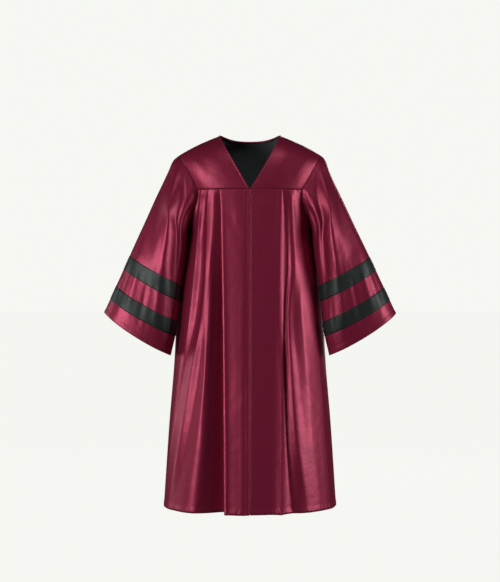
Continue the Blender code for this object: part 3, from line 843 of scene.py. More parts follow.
# The wearer's left front, from the zip to the side seam
LEFT_FRONT = (
    FoldLine("centre edge", (0.4,) * 8,
             (0, 0, 0, 0, -1, -3, -7, -12), (1, 1), 5),
    FoldLine("fly ridge", (5,) * 8,
             (0.2, 0.3, 0.3, 0.3, -0.7, -2.8, -7.2, -12.4), (0, 0), 7),
    FoldLine("panel hollow", (36,) * 8,
             (0.1, 0.2, 0.2, 0, -1.5, -4.5, -9, -14), (0, 0), 7),
    FoldLine("panel middle", (70, 70, 70, 69, 68, 69, 70, 70),
             (0.1, 0.7, 0.8, 0.6, -1.5, -6, -12, -17), (0, 0), 7),
    FoldLine("panel rise", (90, 89, 87, 85, 83, 85, 85, 85),
             (0.2, 0.8, 1, 0.8, -1.2, -5, -10, -14), (0, 0), 6),
    FoldLine("edge roll", (100, 98.5, 96.5, 93.5, 91, 96, 99, 99),
             (0.1, 0.6, 1, 1.2, 0, -1.8, -5.5, -8), (0, 0), 6),
    FoldLine("panel edge", (107.8, 106.5, 104.5, 101.5, 99.5, 104, 106.5, 107),
             (1, 1.8, 2.2, 2.4, 1.6, 0.9, -2.6, -5.1), (1, 0.5), 5),
    FoldLine("deep wall", (108.6, 107.5, 105.5, 102.5, 100.3, 105, 108, 110),
             (-0.6, -4, -6, -6, -7, -9, -11, -12), (0.6, 0.1), 6),
    FoldLine("deep pleat", (111, 113, 116, 117, 113, 115, 122, 140),
             (-0.8, -7, -11, -13, -16, -20, -24, -30), (0, 0), 7),
    FoldLine("inner rise", (121, 123, 126, 129, 121, 127, 142, 170),
             (-0.4, -5, -9, -12, -14, -11, -13, -22), (0, 0), 6),
    FoldLine("inner fold", (130, 133, 136, 139, 129, 138, 158, 196),
             (0, -2, -3, -4, -6, -2, -4, -19), (0, 0), 6),
    FoldLine("inner valley", (138, 141, 145, 151, 147, 162, 189, 220),
             (0.4, 0.4, 0.5, 0.5, -6, -5.5, -8.5, -21), (0, 0), 6),
    FoldLine("broad swell", (148, 152, 158, 167, 174, 190, 211, 238),
             (0.7, -0.8, -1.8, -2, -1.5, -3.5, -9.5, -20.5), (0.5, 0), 6),
    FoldLine("swell fall", (156, 164, 173, 183, 194, 212, 232, 254),
             (-0.5, -3, -4, -4.5, -5, -7.5, -13, -20.5), (0.1, 0), 7),
    FoldLine("third pleat", (167, 174, 183, 195, 212, 230, 248, 268),
             (0.6, -4, -6, -7, -6, -8.5, -12.5, -17.5), (0.6, 0), 6),
    FoldLine("third hollow", (171, 182, 194, 208, 226, 242, 260, 280),
             (-0.5, -5, -7, -7, -6.5, -8.5, -12, -14.5), (0, 0), 8),
)

# The two halves of the back, from its middle to each side seam
LEFT_BACK = (
    FoldLine("middle", (0,) * 8,
             (0, 1, 2, 3, 4, 5, 5, 4), (0, 0), 6),
    FoldLine("inner edge", (17, 17, 17, 17, 19, 21, 23, 25),
             (1, 1.5, 2, 1, -1, -3, -6, -9), (1, 0.1), 5),
    FoldLine("inner hollow", (21, 22.5, 25, 28, 30, 33, 35, 37),
             (-0.8, -4, -7, -10, -13, -17, -20, -24), (0, 0), 8),
    FoldLine("inner swell", (44, 46, 48, 52, 56, 60, 64, 68),
             (0, 1, 2, 3, 3, 3, 4, 4), (0, 0), 6),
    FoldLine("middle edge", (61, 63, 65, 69, 74, 79, 84, 90),
             (1, 1.5, 1, -1, -6, -10, -14, -17), (1, 0), 5),
    FoldLine("middle hollow", (65, 68, 72, 79, 86, 93, 100, 107),
             (-0.8, -5, -10, -15, -21, -27, -33, -39), (0, 0), 8),
    FoldLine("middle swell", (88, 92, 97, 105, 114, 124, 134, 145),
             (0, 1, 2, 2, 2, 2, 3, 3), (0, 0), 6),
    FoldLine("outer edge", (105, 109, 114, 121, 131, 141, 153, 165),
             (1, 1.5, 1, -1, -5, -9, -13, -16), (1, 0), 5),
    FoldLine("outer hollow", (109, 114, 121, 132, 145, 159, 172, 185),
             (-0.8, -5, -9, -14, -20, -25, -31, -37), (0, 0), 8),
    FoldLine("outer swell", (130, 137, 147, 160, 176, 192, 207, 222),
             (0, 0.5, 1, 1, 1, 1, 0, -2), (0, 0), 7),
    FoldLine("side edge", (147, 154, 164, 178, 194, 209, 225, 240),
             (0.8, 0, -1, -2, -3, -4, -6, -8), (1, 0), 5),
    FoldLine("side hollow", (151, 160, 172, 188, 205, 221, 238, 254),
             (-0.6, -3, -5, -6, -8, -9, -12, -14), (0, 0), 9),
)
RIGHT_BACK = (
    FoldLine("middle", (0,) * 8,
             (0, 1, 2, 3, 4, 5, 5, 4), (0, 0), 6),
    FoldLine("inner edge", (15, 15, 15, 15, 17, 19, 22, 25),
             (1, 1.5, 2, 1, -2, -5, -9, -13), (1, 0.1), 5),
    FoldLine("inner hollow", (19, 20, 22, 25, 28, 31, 35, 38),
             (-0.8, -4, -8, -12, -16, -21, -26, -31), (0, 0), 8),
    FoldLine("inner swell", (41, 43, 46, 50, 55, 61, 67, 73),
             (0, 1, 2, 2, 2, 2, 2, 2), (0, 0), 6),
    FoldLine("middle edge", (57, 59, 61, 64, 70, 76, 83, 90),
             (1, 1.5, 1, 0, -4, -7, -10, -12), (1, 0), 5),
    FoldLine("middle hollow", (61, 64, 67, 73, 81, 88, 96, 104),
             (-0.8, -4, -8, -12, -16, -20, -24, -28), (0, 0), 8),
    FoldLine("middle swell", (83, 87, 92, 100, 110, 120, 130, 140),
             (0, 1, 2, 3, 3, 4, 5, 6), (0, 0), 6),
    FoldLine("outer edge", (101, 105, 110, 118, 129, 140, 153, 166),
             (1, 1.5, 1, -2, -7, -12, -16, -20), (1, 0), 5),
    FoldLine("outer hollow", (105, 110, 117, 129, 142, 157, 172, 187),
             (-0.8, -5, -10, -16, -23, -30, -37, -44), (0, 0), 8),
    FoldLine("outer swell", (128, 136, 146, 161, 178, 195, 212, 228),
             (0, 0.5, 1, 1, 0, 0, -2, -4), (0, 0), 7),
    FoldLine("side edge", (147, 155, 165, 179, 196, 212, 228, 244),
             (0.8, 0, -1, -2, -3, -4, -6, -8), (1, 0), 5),
    FoldLine("side hollow", (151, 160, 172, 190, 207, 224, 241, 258),
             (-0.6, -3, -5, -6, -7, -8, -10, -12), (0, 0), 9),
)


@dataclass
class PleatedPanel:
    """A front or half of the back: pleated into the yoke seam, in open folds below it, and hemmed."""

    form: BodyForm
    side: Side
    face: Face
    folds: tuple[FoldLine, ...]
    creases: tuple[Crease, ...]
    slack: Slackness
    flat: tuple[float, float]
    area: float
    rows: int = 210
    seam_puckers: Puckers = Puckers(8.5, 1.1, 10, 31)
    hem_puckers: Puckers = Puckers(12.0, 1.7, 24, 47, 0.35)
    side_puckers: Puckers = Puckers(17.0, 0.6, 9, 53)
    hem_turn: float = 14 * MM
    # The line of stitches beside the zip lies this many millimetres from the front edge
    fly_stitch: float = 11.5

    @property
    def node(self) -> str:
        """The solid that the panel stands for."""
        return f"{self.face.name.lower()}_{self.side.word}"

    def heights(self) -> Array:
        """The heights of its rows, closer together under the seam."""
        top = self.form.seam_z(self.face) - SEAM_GAP
        share = np.linspace(0, 1, self.rows)
        return top + (-self.form.length - top) * share**1.18

    def keys(self, z: Array) -> Array:
        """The fold lines' points at each height, from the middle edge to the outer edge, at +X."""
        seam_z = self.form.seam_z(self.face)
        levels = (seam_z, *LEVELS_BELOW)
        half_width, ahead, behind = self.form.at(z)
        lean = self.form.side_line_y if self.face is Face.FRONT else -self.form.side_line_y
        reach = (ahead if self.face is Face.FRONT else behind) + lean
        blend = smooth_step((seam_z - z) / self.form.blend)
        keys = []
        for fold in self.folds:
            across = smooth_track(z, levels, fold.across) * MM
            out = smooth_track(z, levels, fold.out) * MM
            on_form = self.form.depth(across, half_width, reach) - lean
            depth = (1 - blend) * self.form.seam_depth(across, self.face) + blend * on_form + out
            keys.append(np.stack([across, self.face.value * depth, z], axis=-1))
        keys.append(self.form.side_edge(z, self.face))
        return np.stack(keys, axis=1)

    def crispness(self, z: Array) -> Array:
        """How sharply each line is pressed at each height."""
        down = ((z[0] - z) / (z[0] - z[-1]))[:, None]
        ends = np.array([fold.crisp for fold in self.folds] + [(0.0, 0.0)])
        return ends[:, 0] * (1 - down) + ends[:, 1] * down

    def bare(self) -> Cloth:
        """The panel's pleats, with no creases or gathers yet, at +X."""
        z = self.heights()
        keys, crisp = self.keys(z), self.crispness(z)[..., None]
        before = keys[:, 1] * np.array([-1.0, 1.0, 1.0])
        beyond = keys[:, -1] + (keys[:, -1] - keys[:, -2]) * np.array([-0.6, 1.0, 1.0])
        ends = np.concatenate([before[:, None], keys, beyond[:, None]], axis=1)
        strips = []
        for i, fold in enumerate(self.folds):
            p0, p1, p2, p3 = (ends[:, i + k] for k in range(4))
            d1, d2, d3 = (
                np.sqrt(np.maximum(np.linalg.norm(b - a, axis=1, keepdims=True), 1e-6))
                for a, b in ((p0, p1), (p1, p2), (p2, p3))
            )
            chord = p2 - p1
            m1 = chord + d2 * ((p1 - p0) / d1 - (p2 - p0) / (d1 + d2))
            m2 = chord + d2 * ((p3 - p2) / d3 - (p3 - p1) / (d2 + d3))
            m1 = m1 * (1 - crisp[:, i]) + chord * crisp[:, i]
            m2 = m2 * (1 - crisp[:, i + 1]) + chord * crisp[:, i + 1]
            t = ((1 - np.cos(np.pi * np.arange(fold.columns) / fold.columns)) / 2)[None, :, None]
            strips.append(
                (1 + 2 * t) * (1 - t) ** 2 * p1[:, None]
                + t * (1 - t) ** 2 * m1[:, None]
                + t * t * (3 - 2 * t) * p2[:, None]
                + t * t * (t - 1) * m2[:, None]
            )
        points = np.concatenate([*strips, keys[:, -1:]], axis=1)
        outward = points - np.stack([0 * z, 0 * z + self.form.side_line_y, z], axis=-1)[:, None]
        return Cloth(points, grid_normals(points, False, outward))

    def dressed(self, cloth: Cloth) -> Cloth:
        """The panel with its creases, its slackness, its gathers at the seams and its turned hem."""
        across = np.abs(cloth.points[..., 0]) / MM
        down = -cloth.points[..., 2] / MM
        along = run_along(cloth.points, 1) / MM
        below_seam = down - down[:1]
        above_hem = down[-1:] - down
        inside = along[:, -1:] - along
        free = smooth_step(below_seam / 45) * smooth_step(inside / 25)
        if self.face is Face.FRONT:
            free = free * smooth_step(along / 14)
        height = sum(crease.lift(across, down) for crease in self.creases) + self.slack.lift(across, down)
        height = height * free
        height = height + self.seam_puckers.lift(along, below_seam) * smooth_step(below_seam / 4)
        height = height + self.hem_puckers.lift(along, above_hem)
        below_arm = smooth_step((down + self.form.underarm_z / MM) / 20)
        height = height + self.side_puckers.lift(down, inside) * smooth_step(inside / 5) * below_arm
        turn = self.hem_turn / MM
        height = height + 0.7 * smooth_step((turn + 1.5 - above_hem) / 2.5)
        if self.face is Face.FRONT:
            height = height + self.placket(along, down)
        return cloth.raised(height * MM)

    def placket(self, along: Array, down: Array) -> Array:
        """The folded front edge: a soft roll at its fold, and the hollow of the stitches that hold it."""
        crest = 6.0 if self.side is Side.RIGHT else 4.8
        roll = 0.4 * np.exp(-(((along - crest) / 2.2) ** 2)) - 3.6 * np.exp(-((along / 0.9) ** 2))
        stitched = -0.5 * np.exp(-(((along - self.fly_stitch) / 2.2) ** 2))
        past_stitch = along - self.fly_stitch - 5.0
        facing = 0.6 * np.exp(-((past_stitch / 2.0) ** 2)) * smooth_step((330 - down) / 90)
        return roll + stitched + (facing if self.side is Side.RIGHT else 0.0)

    def build(self, wardrobe: Wardrobe) -> Cloth:
        """Args:
            wardrobe: hands out the materials.

        Returns:
            The panel's outer surface where it stands, for the pieces that lie on it.
        """
        cloth = self.dressed(self.bare())
        self.pin_side(cloth)
        cloth = Cloth(self.side.place(cloth.points), self.side.place(cloth.normals))
        name = f"satin_{self.node}"
        piece = cloth.make(name, wardrobe.of(MAROON_SATIN), wardrobe.of(SATIN_REVERSE))
        declare(piece, "maroon_satin", self.node)
        sewing = SewingBox(Topstitch())
        z = -cloth.points[:, -1, 2]
        sewing.sew(cloth.across_line(float(np.interp(z[-1] - self.hem_turn, z, np.arange(len(z))))))
        if self.face is Face.FRONT:
            along = run_along(cloth.points, 1)
            at = self.fly_stitch * MM
            low = int(np.searchsorted(along[10], at)) - 1
            column = low + (at - along[10, low]) / (along[10, low + 1] - along[10, low])
            sewing.sew(cloth.down_line(column))
        stitches = declare(sewing.make(f"stitches_{self.node}", wardrobe.of(MAROON_THREAD)), "maroon_satin")
        return cloth

    def pin_side(self, cloth: Cloth) -> None:
        """Keeps the side seam apart from the panel it is sewn to, and the two halves of the back too."""
        below = cloth.points[:, -1, 2] <= self.form.underarm_z
        cloth.points[below, -1, 1] += self.face.value * SEAM_GAP / 2
        if self.face is Face.BACK:
            cloth.points[:, 0, 0] += SEAM_GAP / 2


# Yokes


@dataclass(frozen=True)
class YokeCut:
    """The sizes of the yokes: the neck, the shoulder line, the seams below, and the neck's binding."""

    form: BodyForm
    neck_half_width: float = 0.0999
    shoulder_tip: tuple[float, float, float] = (0.2445, 0.0, -0.0677)
    shoulder_fullness: float = 4.5 * MM
    back_neck_y: float = 0.075
    back_neck_z: float = -0.0118
    v_end_x: float = 1.5 * MM
    v_bow: float = 16 * MM
    armhole_bow: float = 3 * MM
    back_panel_x: float = 0.072
    neck_fall: float = 0.034
    binding_share: float = 0.04
    binding_down: float = 0.035
    binding_wall: float = 0.9 * MM
    binding_shell: float = 0.7 * MM

    def dome(self, rounded: float) -> Array:
        """How high the binding stands over the yoke, at nine places from the neck edge outward."""
        across = np.linspace(0.12, 1, 9)
        return SEAM_GAP + self.binding_wall * (0.4 + rounded * np.sin(math.pi * across) ** 0.8)

    def shoulder(self, s: Array) -> Array:
        """The shoulder seam from the neck point to the shoulder tip, a little full in the middle."""
        neck = np.array([self.neck_half_width, 0.0, 0.0])
        points = neck + (np.array(self.shoulder_tip) - neck) * s[..., None]
        points[..., 2] += self.shoulder_fullness * np.sin(math.pi * s)
        return points

    def front(self, s: Array, t: Array) -> Array:
        """The left front yoke: s runs from the neck to the armhole and t from the shoulder to the seam."""
        top = self.shoulder(s)
        low = self.form.seam_point(self.v_end_x + (self.form.corner_x - self.v_end_x) * s, Face.FRONT)
        bow = self.v_bow * (1 - s) + self.armhole_bow * s
        control = np.stack([top[..., 0] + bow, low[..., 1], top[..., 2]], axis=-1)
        return bezier(top, control, low, t[..., None])

    def back(self, u: Array, t: Array) -> Array:
        """The left of the back yoke: u is 0 at its middle, 1 at the neck point and 2 at the armhole."""
        neck = u <= 1
        angle = np.minimum(u, 1) * math.pi / 2
        round_neck = np.stack(
            [
                self.neck_half_width * np.sin(angle),
                self.back_neck_y * np.maximum(np.cos(angle), 0) ** 1.1,
                self.back_neck_z * (1 - np.sin(angle) ** 3) ** 1.2,
            ],
            axis=-1,
        )
        top = np.where(neck[..., None], round_neck, self.shoulder(np.maximum(u - 1, 0)))
        outer = self.back_panel_x + (self.form.corner_x - self.back_panel_x) * (u - 1)
        low = self.form.seam_point(np.where(neck, self.back_panel_x * u, outer), Face.BACK)
        fall = np.where(neck, self.neck_fall * np.cos(angle), 0.0)
        control_x = np.where(neck, top[..., 0] * 0.6 + low[..., 0] * 0.4, top[..., 0])
        control = np.stack([control_x, low[..., 1] - 2 * MM, top[..., 2] - fall], axis=-1)
        return bezier(top, control, low, t[..., None])


def yoke_outward(points: Array, form: BodyForm) -> Array:
    """The direction of each point away from the body's middle."""
    return points - np.array([0.0, form.side_line_y, -0.25])


@dataclass
class FrontYoke:
    """A front yoke with the narrow binding of its V edge, its topstitching and its seam's small gathers."""

    cut: YokeCut
    side: Side
    creases: tuple[Crease, ...]
    flat: tuple[float, float] = (0.20, 0.24)
    area: float = 0.040
    columns: int = 64
    rows: int = 76
    slack: Slackness = Slackness(60, 70, 0.5, 71)
    seam_puckers: Puckers = Puckers(9.0, 0.9, 8, 83)
    armhole_puckers: Puckers = Puckers(10.0, 0.6, 7, 89)
    # The two lines of stitches along the V, as shares of the way to the armhole
    stitch_shares: tuple[float, float] = (0.050, 0.085)

    def bare(self) -> Cloth:
        """The yoke's plain surface at +X."""
        s, t = np.meshgrid(np.linspace(0, 1, self.columns), np.linspace(0, 1, self.rows))
        points = self.cut.front(s, t)
        points[0, :, 1] -= SEAM_GAP / 2
        return Cloth(points, grid_normals(points, False, yoke_outward(points, self.cut.form)))

    def dressed(self, cloth: Cloth) -> Cloth:
        """The yoke with its soft creases and the gathers at its seams."""
        across, down = cloth.points[..., 0] / MM, -cloth.points[..., 2] / MM
        along, run = run_along(cloth.points, 1) / MM, run_along(cloth.points, 0) / MM
        to_seam, to_arm = run[-1:] - run, along[:, -1:] - along
        free = smooth_step(to_seam / 10) * smooth_step(to_arm / 10)
        free = free * smooth_step(along / 12) * smooth_step(run / 10)
        height = sum(crease.lift(across, down) for crease in self.creases) + self.slack.lift(across, down)
        height = height * free + self.seam_puckers.lift(along, to_seam) * smooth_step(to_seam / 3)
        height = height + self.armhole_puckers.lift(run, to_arm) * smooth_step(to_arm / 3)
        height = height - 0.35 * np.exp(-(((to_seam - 1.5) / 2.0) ** 2)) * smooth_step(to_seam / 1.0)
        return cloth.raised(height * MM)

    def build(self, wardrobe: Wardrobe) -> Cloth:
        """Args:
            wardrobe: hands out the materials.

        Returns:
            The yoke's outer surface.
        """
        satin, reverse = wardrobe.of(MAROON_SATIN), wardrobe.of(SATIN_REVERSE)
        word = self.side.word
        cloth = self.dressed(self.bare())
        cloth = Cloth(self.side.place(cloth.points), self.side.place(cloth.normals))
        piece = cloth.make(f"satin_yoke_front_{word}", satin, reverse)
        declare(piece, "maroon_satin", f"yoke_front_{word}")
        s, t = np.meshgrid(np.linspace(0, self.cut.binding_share, 9), np.linspace(0, 1, 150))
        edge = self.cut.front(s, t)
        edge[0, :, 1] -= SEAM_GAP / 2
        band = Cloth(edge, grid_normals(edge, False, yoke_outward(edge, self.cut.form)))
        band = band.raised(np.broadcast_to(self.cut.dome(1.6), s.shape))
        band = Cloth(self.side.place(band.points), self.side.place(band.normals))
        binding = band.make(f"satin_neck_binding_{word}", satin, reverse, self.cut.binding_shell)
        declare(binding, "maroon_satin", f"neck_binding_{word}")
        sewing = SewingBox(Topstitch())
        for share in self.stitch_shares:
            sewing.sew(cloth.down_line((self.columns - 1) * share))
        sewing.sew(cloth.across_line(self.rows - 1 - 1.6))
        stitches = sewing.make(f"stitches_yoke_front_{word}", wardrobe.of(MAROON_THREAD))
        declare(stitches, "maroon_satin")
        return cloth


@dataclass
class BackYoke:
    """The back yoke with the binding of the back neck and the black lining inside it."""

    cut: YokeCut
    creases: tuple[Crease, ...]
    flat: tuple[float, float] = (0.51, 0.22)
    area: float = 0.094
    rows: int = 80
    slack: Slackness = Slackness(70, 60, 0.5, 97)
    seam_puckers: Puckers = Puckers(9.0, 0.5, 7, 101)
    lining_wall: float = 0.8 * MM

    def shares(self) -> Array:
        """The places across the yoke, from the right armhole to the left one."""
        half = np.concatenate([np.linspace(0, 1, 40)[:-1], np.linspace(1, 2, 44)])
        return np.concatenate([-half[:0:-1], half])

    def bare(self) -> Cloth:
        """The yoke's plain surface."""
        u, t = np.meshgrid(self.shares(), np.linspace(0, 1, self.rows))
        points = self.both_sides(u, t)
        points[0, :, 1] += SEAM_GAP / 2
        return Cloth(points, grid_normals(points, False, yoke_outward(points, self.cut.form)))

    def both_sides(self, u: Array, t: Array) -> Array:
        """The yoke's points on both sides, with u below 0 on the wearer's right."""
        ones = np.ones_like(u)
        return self.cut.back(np.abs(u), t) * np.stack([np.where(u < 0, -1.0, 1.0), ones, ones], axis=-1)

    def turned_over(self, band: Cloth) -> Cloth:
        """The binding's band, carried over the neck edge and down inside it, over the lining."""
        edge = band.points[0]
        inward = -edge * np.array([1.0, 1.0, 0.0])
        inward /= np.linalg.norm(inward, axis=1, keepdims=True)
        up = np.array([0.0, 0.0, 1.0])
        # How far inside the neck edge and how far above it each turned row lies, in millimetres
        turns = ((4.8, -5.0), (4.9, -2.6), (4.3, -0.5), (2.9, 0.7), (1.4, 0.8))
        rows = [edge + (inward * ahead + up * rise) * MM for ahead, rise in turns]
        points = np.concatenate([np.stack(rows), band.points])
        ways = np.stack([inward, inward, inward + up, up + 0 * inward, up - inward])
        return Cloth(points, grid_normals(points, False, np.concatenate([ways, band.normals])))

    def build(self, wardrobe: Wardrobe) -> Cloth:
        """Args:
            wardrobe: hands out the materials.

        Returns:
            The yoke's outer surface.
        """
        satin, reverse = wardrobe.of(MAROON_SATIN), wardrobe.of(SATIN_REVERSE)
        twill = wardrobe.of(BLACK_LINING)
        plain = self.bare()
        across, down = plain.points[..., 0] / MM, -plain.points[..., 2] / MM
        along, run = run_along(plain.points, 1) / MM, run_along(plain.points, 0) / MM
        to_seam, to_arm = run[-1:] - run, np.minimum(along, along[:, -1:] - along)
        free = smooth_step(to_seam / 10) * smooth_step(to_arm / 10) * smooth_step(run / 12)
        height = sum(crease.lift(across, down) for crease in self.creases) + self.slack.lift(across, down)
        height = height * free + self.seam_puckers.lift(along, to_seam) * smooth_step(to_seam / 3)
        cloth = plain.raised(height * MM)
        piece = cloth.make("satin_yoke_back", satin, reverse)
        declare(piece, "maroon_satin", "yoke_back")
        fold = 1.2 * np.exp(-((across / 16) ** 4)) * smooth_step(run / 20) * smooth_step(to_seam / 12)
        inner = plain.raised(height * MM - (SOLID_WALL + SEAM_GAP) - fold * MM)
        inner = inner.part(columns=slice(3, -3))
        inside = Cloth(inner.points, inner.normals)
        lining = inside.make("twill_yoke_lining", twill, twill, self.lining_wall)
        declare(lining, "black_lining", "yoke_lining")
        u, t = np.meshgrid(np.linspace(-0.96, 0.96, 120), np.linspace(0, self.cut.binding_down, 9))
        edge = self.both_sides(u, t)
        edge[0, :, 1] += SEAM_GAP / 2
        band = Cloth(edge, grid_normals(edge, False, yoke_outward(edge, self.cut.form)))
        band = self.turned_over(band.raised(np.broadcast_to(self.cut.dome(0.9)[:, None], u.shape)))
        binding = band.make("satin_neck_binding_back", satin, reverse, self.cut.binding_shell)
        declare(binding, "maroon_satin", "neck_binding_back")
        sewing = SewingBox(Topstitch())
        middle = slice(8, len(self.shares()) - 8)
        sewing.sew(cloth.part(columns=middle).across_line(self.rows * 0.047))
        sewing.sew(cloth.across_line(self.rows - 1 - 1.6))
        stitches = declare(sewing.make("stitches_yoke_back", wardrobe.of(MAROON_THREAD)), "maroon_satin")
        return cloth


# Sleeves


@dataclass(frozen=True)
class Flute:
    """A fold of the sleeve: degrees from the top and height in mm at each level, and its width."""

    name: str
    degrees: tuple[float, ...]
    heights: tuple[float, ...]
    width_deg: float


# The shares of the sleeve's length at which its folds are given, from the head to the cuff
FLUTE_LEVELS = (0.0, 0.08, 0.18, 0.31, 0.52, 0.67, 1.0)
FRONT_FLUTES = (
    Flute("outer hollow", (14, 22, 34, 54, 68, 78, 86), (-3, -5, -8, -12, -9, -4, 0), 24),
    Flute("main swell", (30, 48, 68, 96, 112, 118, 128), (3, 4, 5, 5, 5, 3, 0), 24),
    Flute("main ridge", (20, 42, 68, 97, 112, 118, 128), (1, 2.5, 4, 5, 5, 3, 1), 8.5),
    Flute("deep hollow", (48, 72, 100, 128, 144, 150, 158), (-8, -10, -13, -13, -11, -7, -2), 15),
    Flute("inner ridge", (70, 86, 110, 138, 154, 160, 166), (4, 3, 0.5, 0, 0, 0, 0), 7),
    Flute("underarm hollow", (100, 112, 134, 158, 168, 170, 172), (-7, -9, -8, -5, -3, -2, 0), 14),
    Flute("cuff swell", (60, 60, 60, 60, 60, 58, 52), (0, 0, 0, 0, 1, 4, 5), 22),
)
BACK_FLUTES = (
    Flute("outer hollow", (16, 19, 22, 25, 30, 33, 40), (-5, -5.3, -5.6, -5.9, -5.7, -4.8, -2), 16),
    Flute("main ridge", (32, 38, 44, 50, 59, 65, 78), (9, 8.8, 8.6, 8.3, 7.6, 6.4, 3), 17),
    Flute("deep hollow", (56, 63, 70, 78, 89, 97, 112), (-11, -10.8, -10.6, -10.3, -9.6, -8, -4), 17),
    Flute("inner ridge", (80, 89, 97, 106, 119, 128, 146), (8, 7.5, 6.9, 6.1, 4.8, 3.8, 2), 15),
)


@dataclass(frozen=True)
class SleeveLevel:
    """A place on the sleeve: its share down the top, the share left of the under edge, half its depth."""

    down: float
    under_left: float
    half_depth: float


@dataclass(frozen=True)
class SleeveCut:
    """The sizes that both sleeves share."""

    under: tuple[tuple[float, float, float], ...] = (
        (0.2160, 0.020, -0.338),
        (0.2140, -0.026, -0.3620),
        (0.2218, -0.052, -0.4300),
        (0.2345, -0.060, -0.5070),
        (0.2480, -0.060, -0.6400),
        (0.2575, -0.057, -0.7000),
        (0.2722, -0.052, -0.7590),
    )
    levels: tuple[SleeveLevel, ...] = (
        SleeveLevel(0.0, 1.0, 0.085),
        SleeveLevel(0.15, 0.900, 0.088),
        SleeveLevel(0.50, 0.650, 0.080),
        SleeveLevel(0.6455, 0.530, 0.076),
        SleeveLevel(0.7290, 0.408, 0.073),
        SleeveLevel(0.8335, 0.259, 0.070),
        SleeveLevel(0.9156, 0.147, 0.067),
        SleeveLevel(1.0, 0.0, 0.064),
    )
    cuff_bow: float = 9 * MM
    bars: tuple[tuple[str, float, float], ...] = (("upper", 0.6455, 0.7290), ("lower", 0.8335, 0.9156))


RIGHT_SLEEVE_TOP = (
    (0.2445, 0.000, -0.0677),
    (0.2650, -0.001, -0.0850),
    (0.2850, -0.004, -0.1260),
    (0.3570, -0.012, -0.2918),
    (0.4310, -0.017, -0.4560),
    (0.5020, -0.020, -0.6110),
)
LEFT_SLEEVE_TOP = (
    (0.2445, 0.000, -0.0677),
    (0.2590, -0.001, -0.0820),
    (0.2770, -0.004, -0.1260),
    (0.3495, -0.012, -0.2918),
    (0.4280, -0.017, -0.4560),
    (0.5030, -0.020, -0.6145),
)


def path_point(path: Array, distance: Array) -> Array:
    """The points of a path at distances from its far end, on a smooth curve through its points."""
    lengths = np.concatenate([[0], np.cumsum(np.linalg.norm(np.diff(path[::-1], axis=0), axis=1))])
    return np.stack([smooth_track(distance, lengths, path[::-1][:, i]) for i in range(3)], axis=-1)


def path_length(path: Array) -> float:
    """The length of a path of straight runs."""
    return float(np.linalg.norm(np.diff(path, axis=0), axis=1).sum())


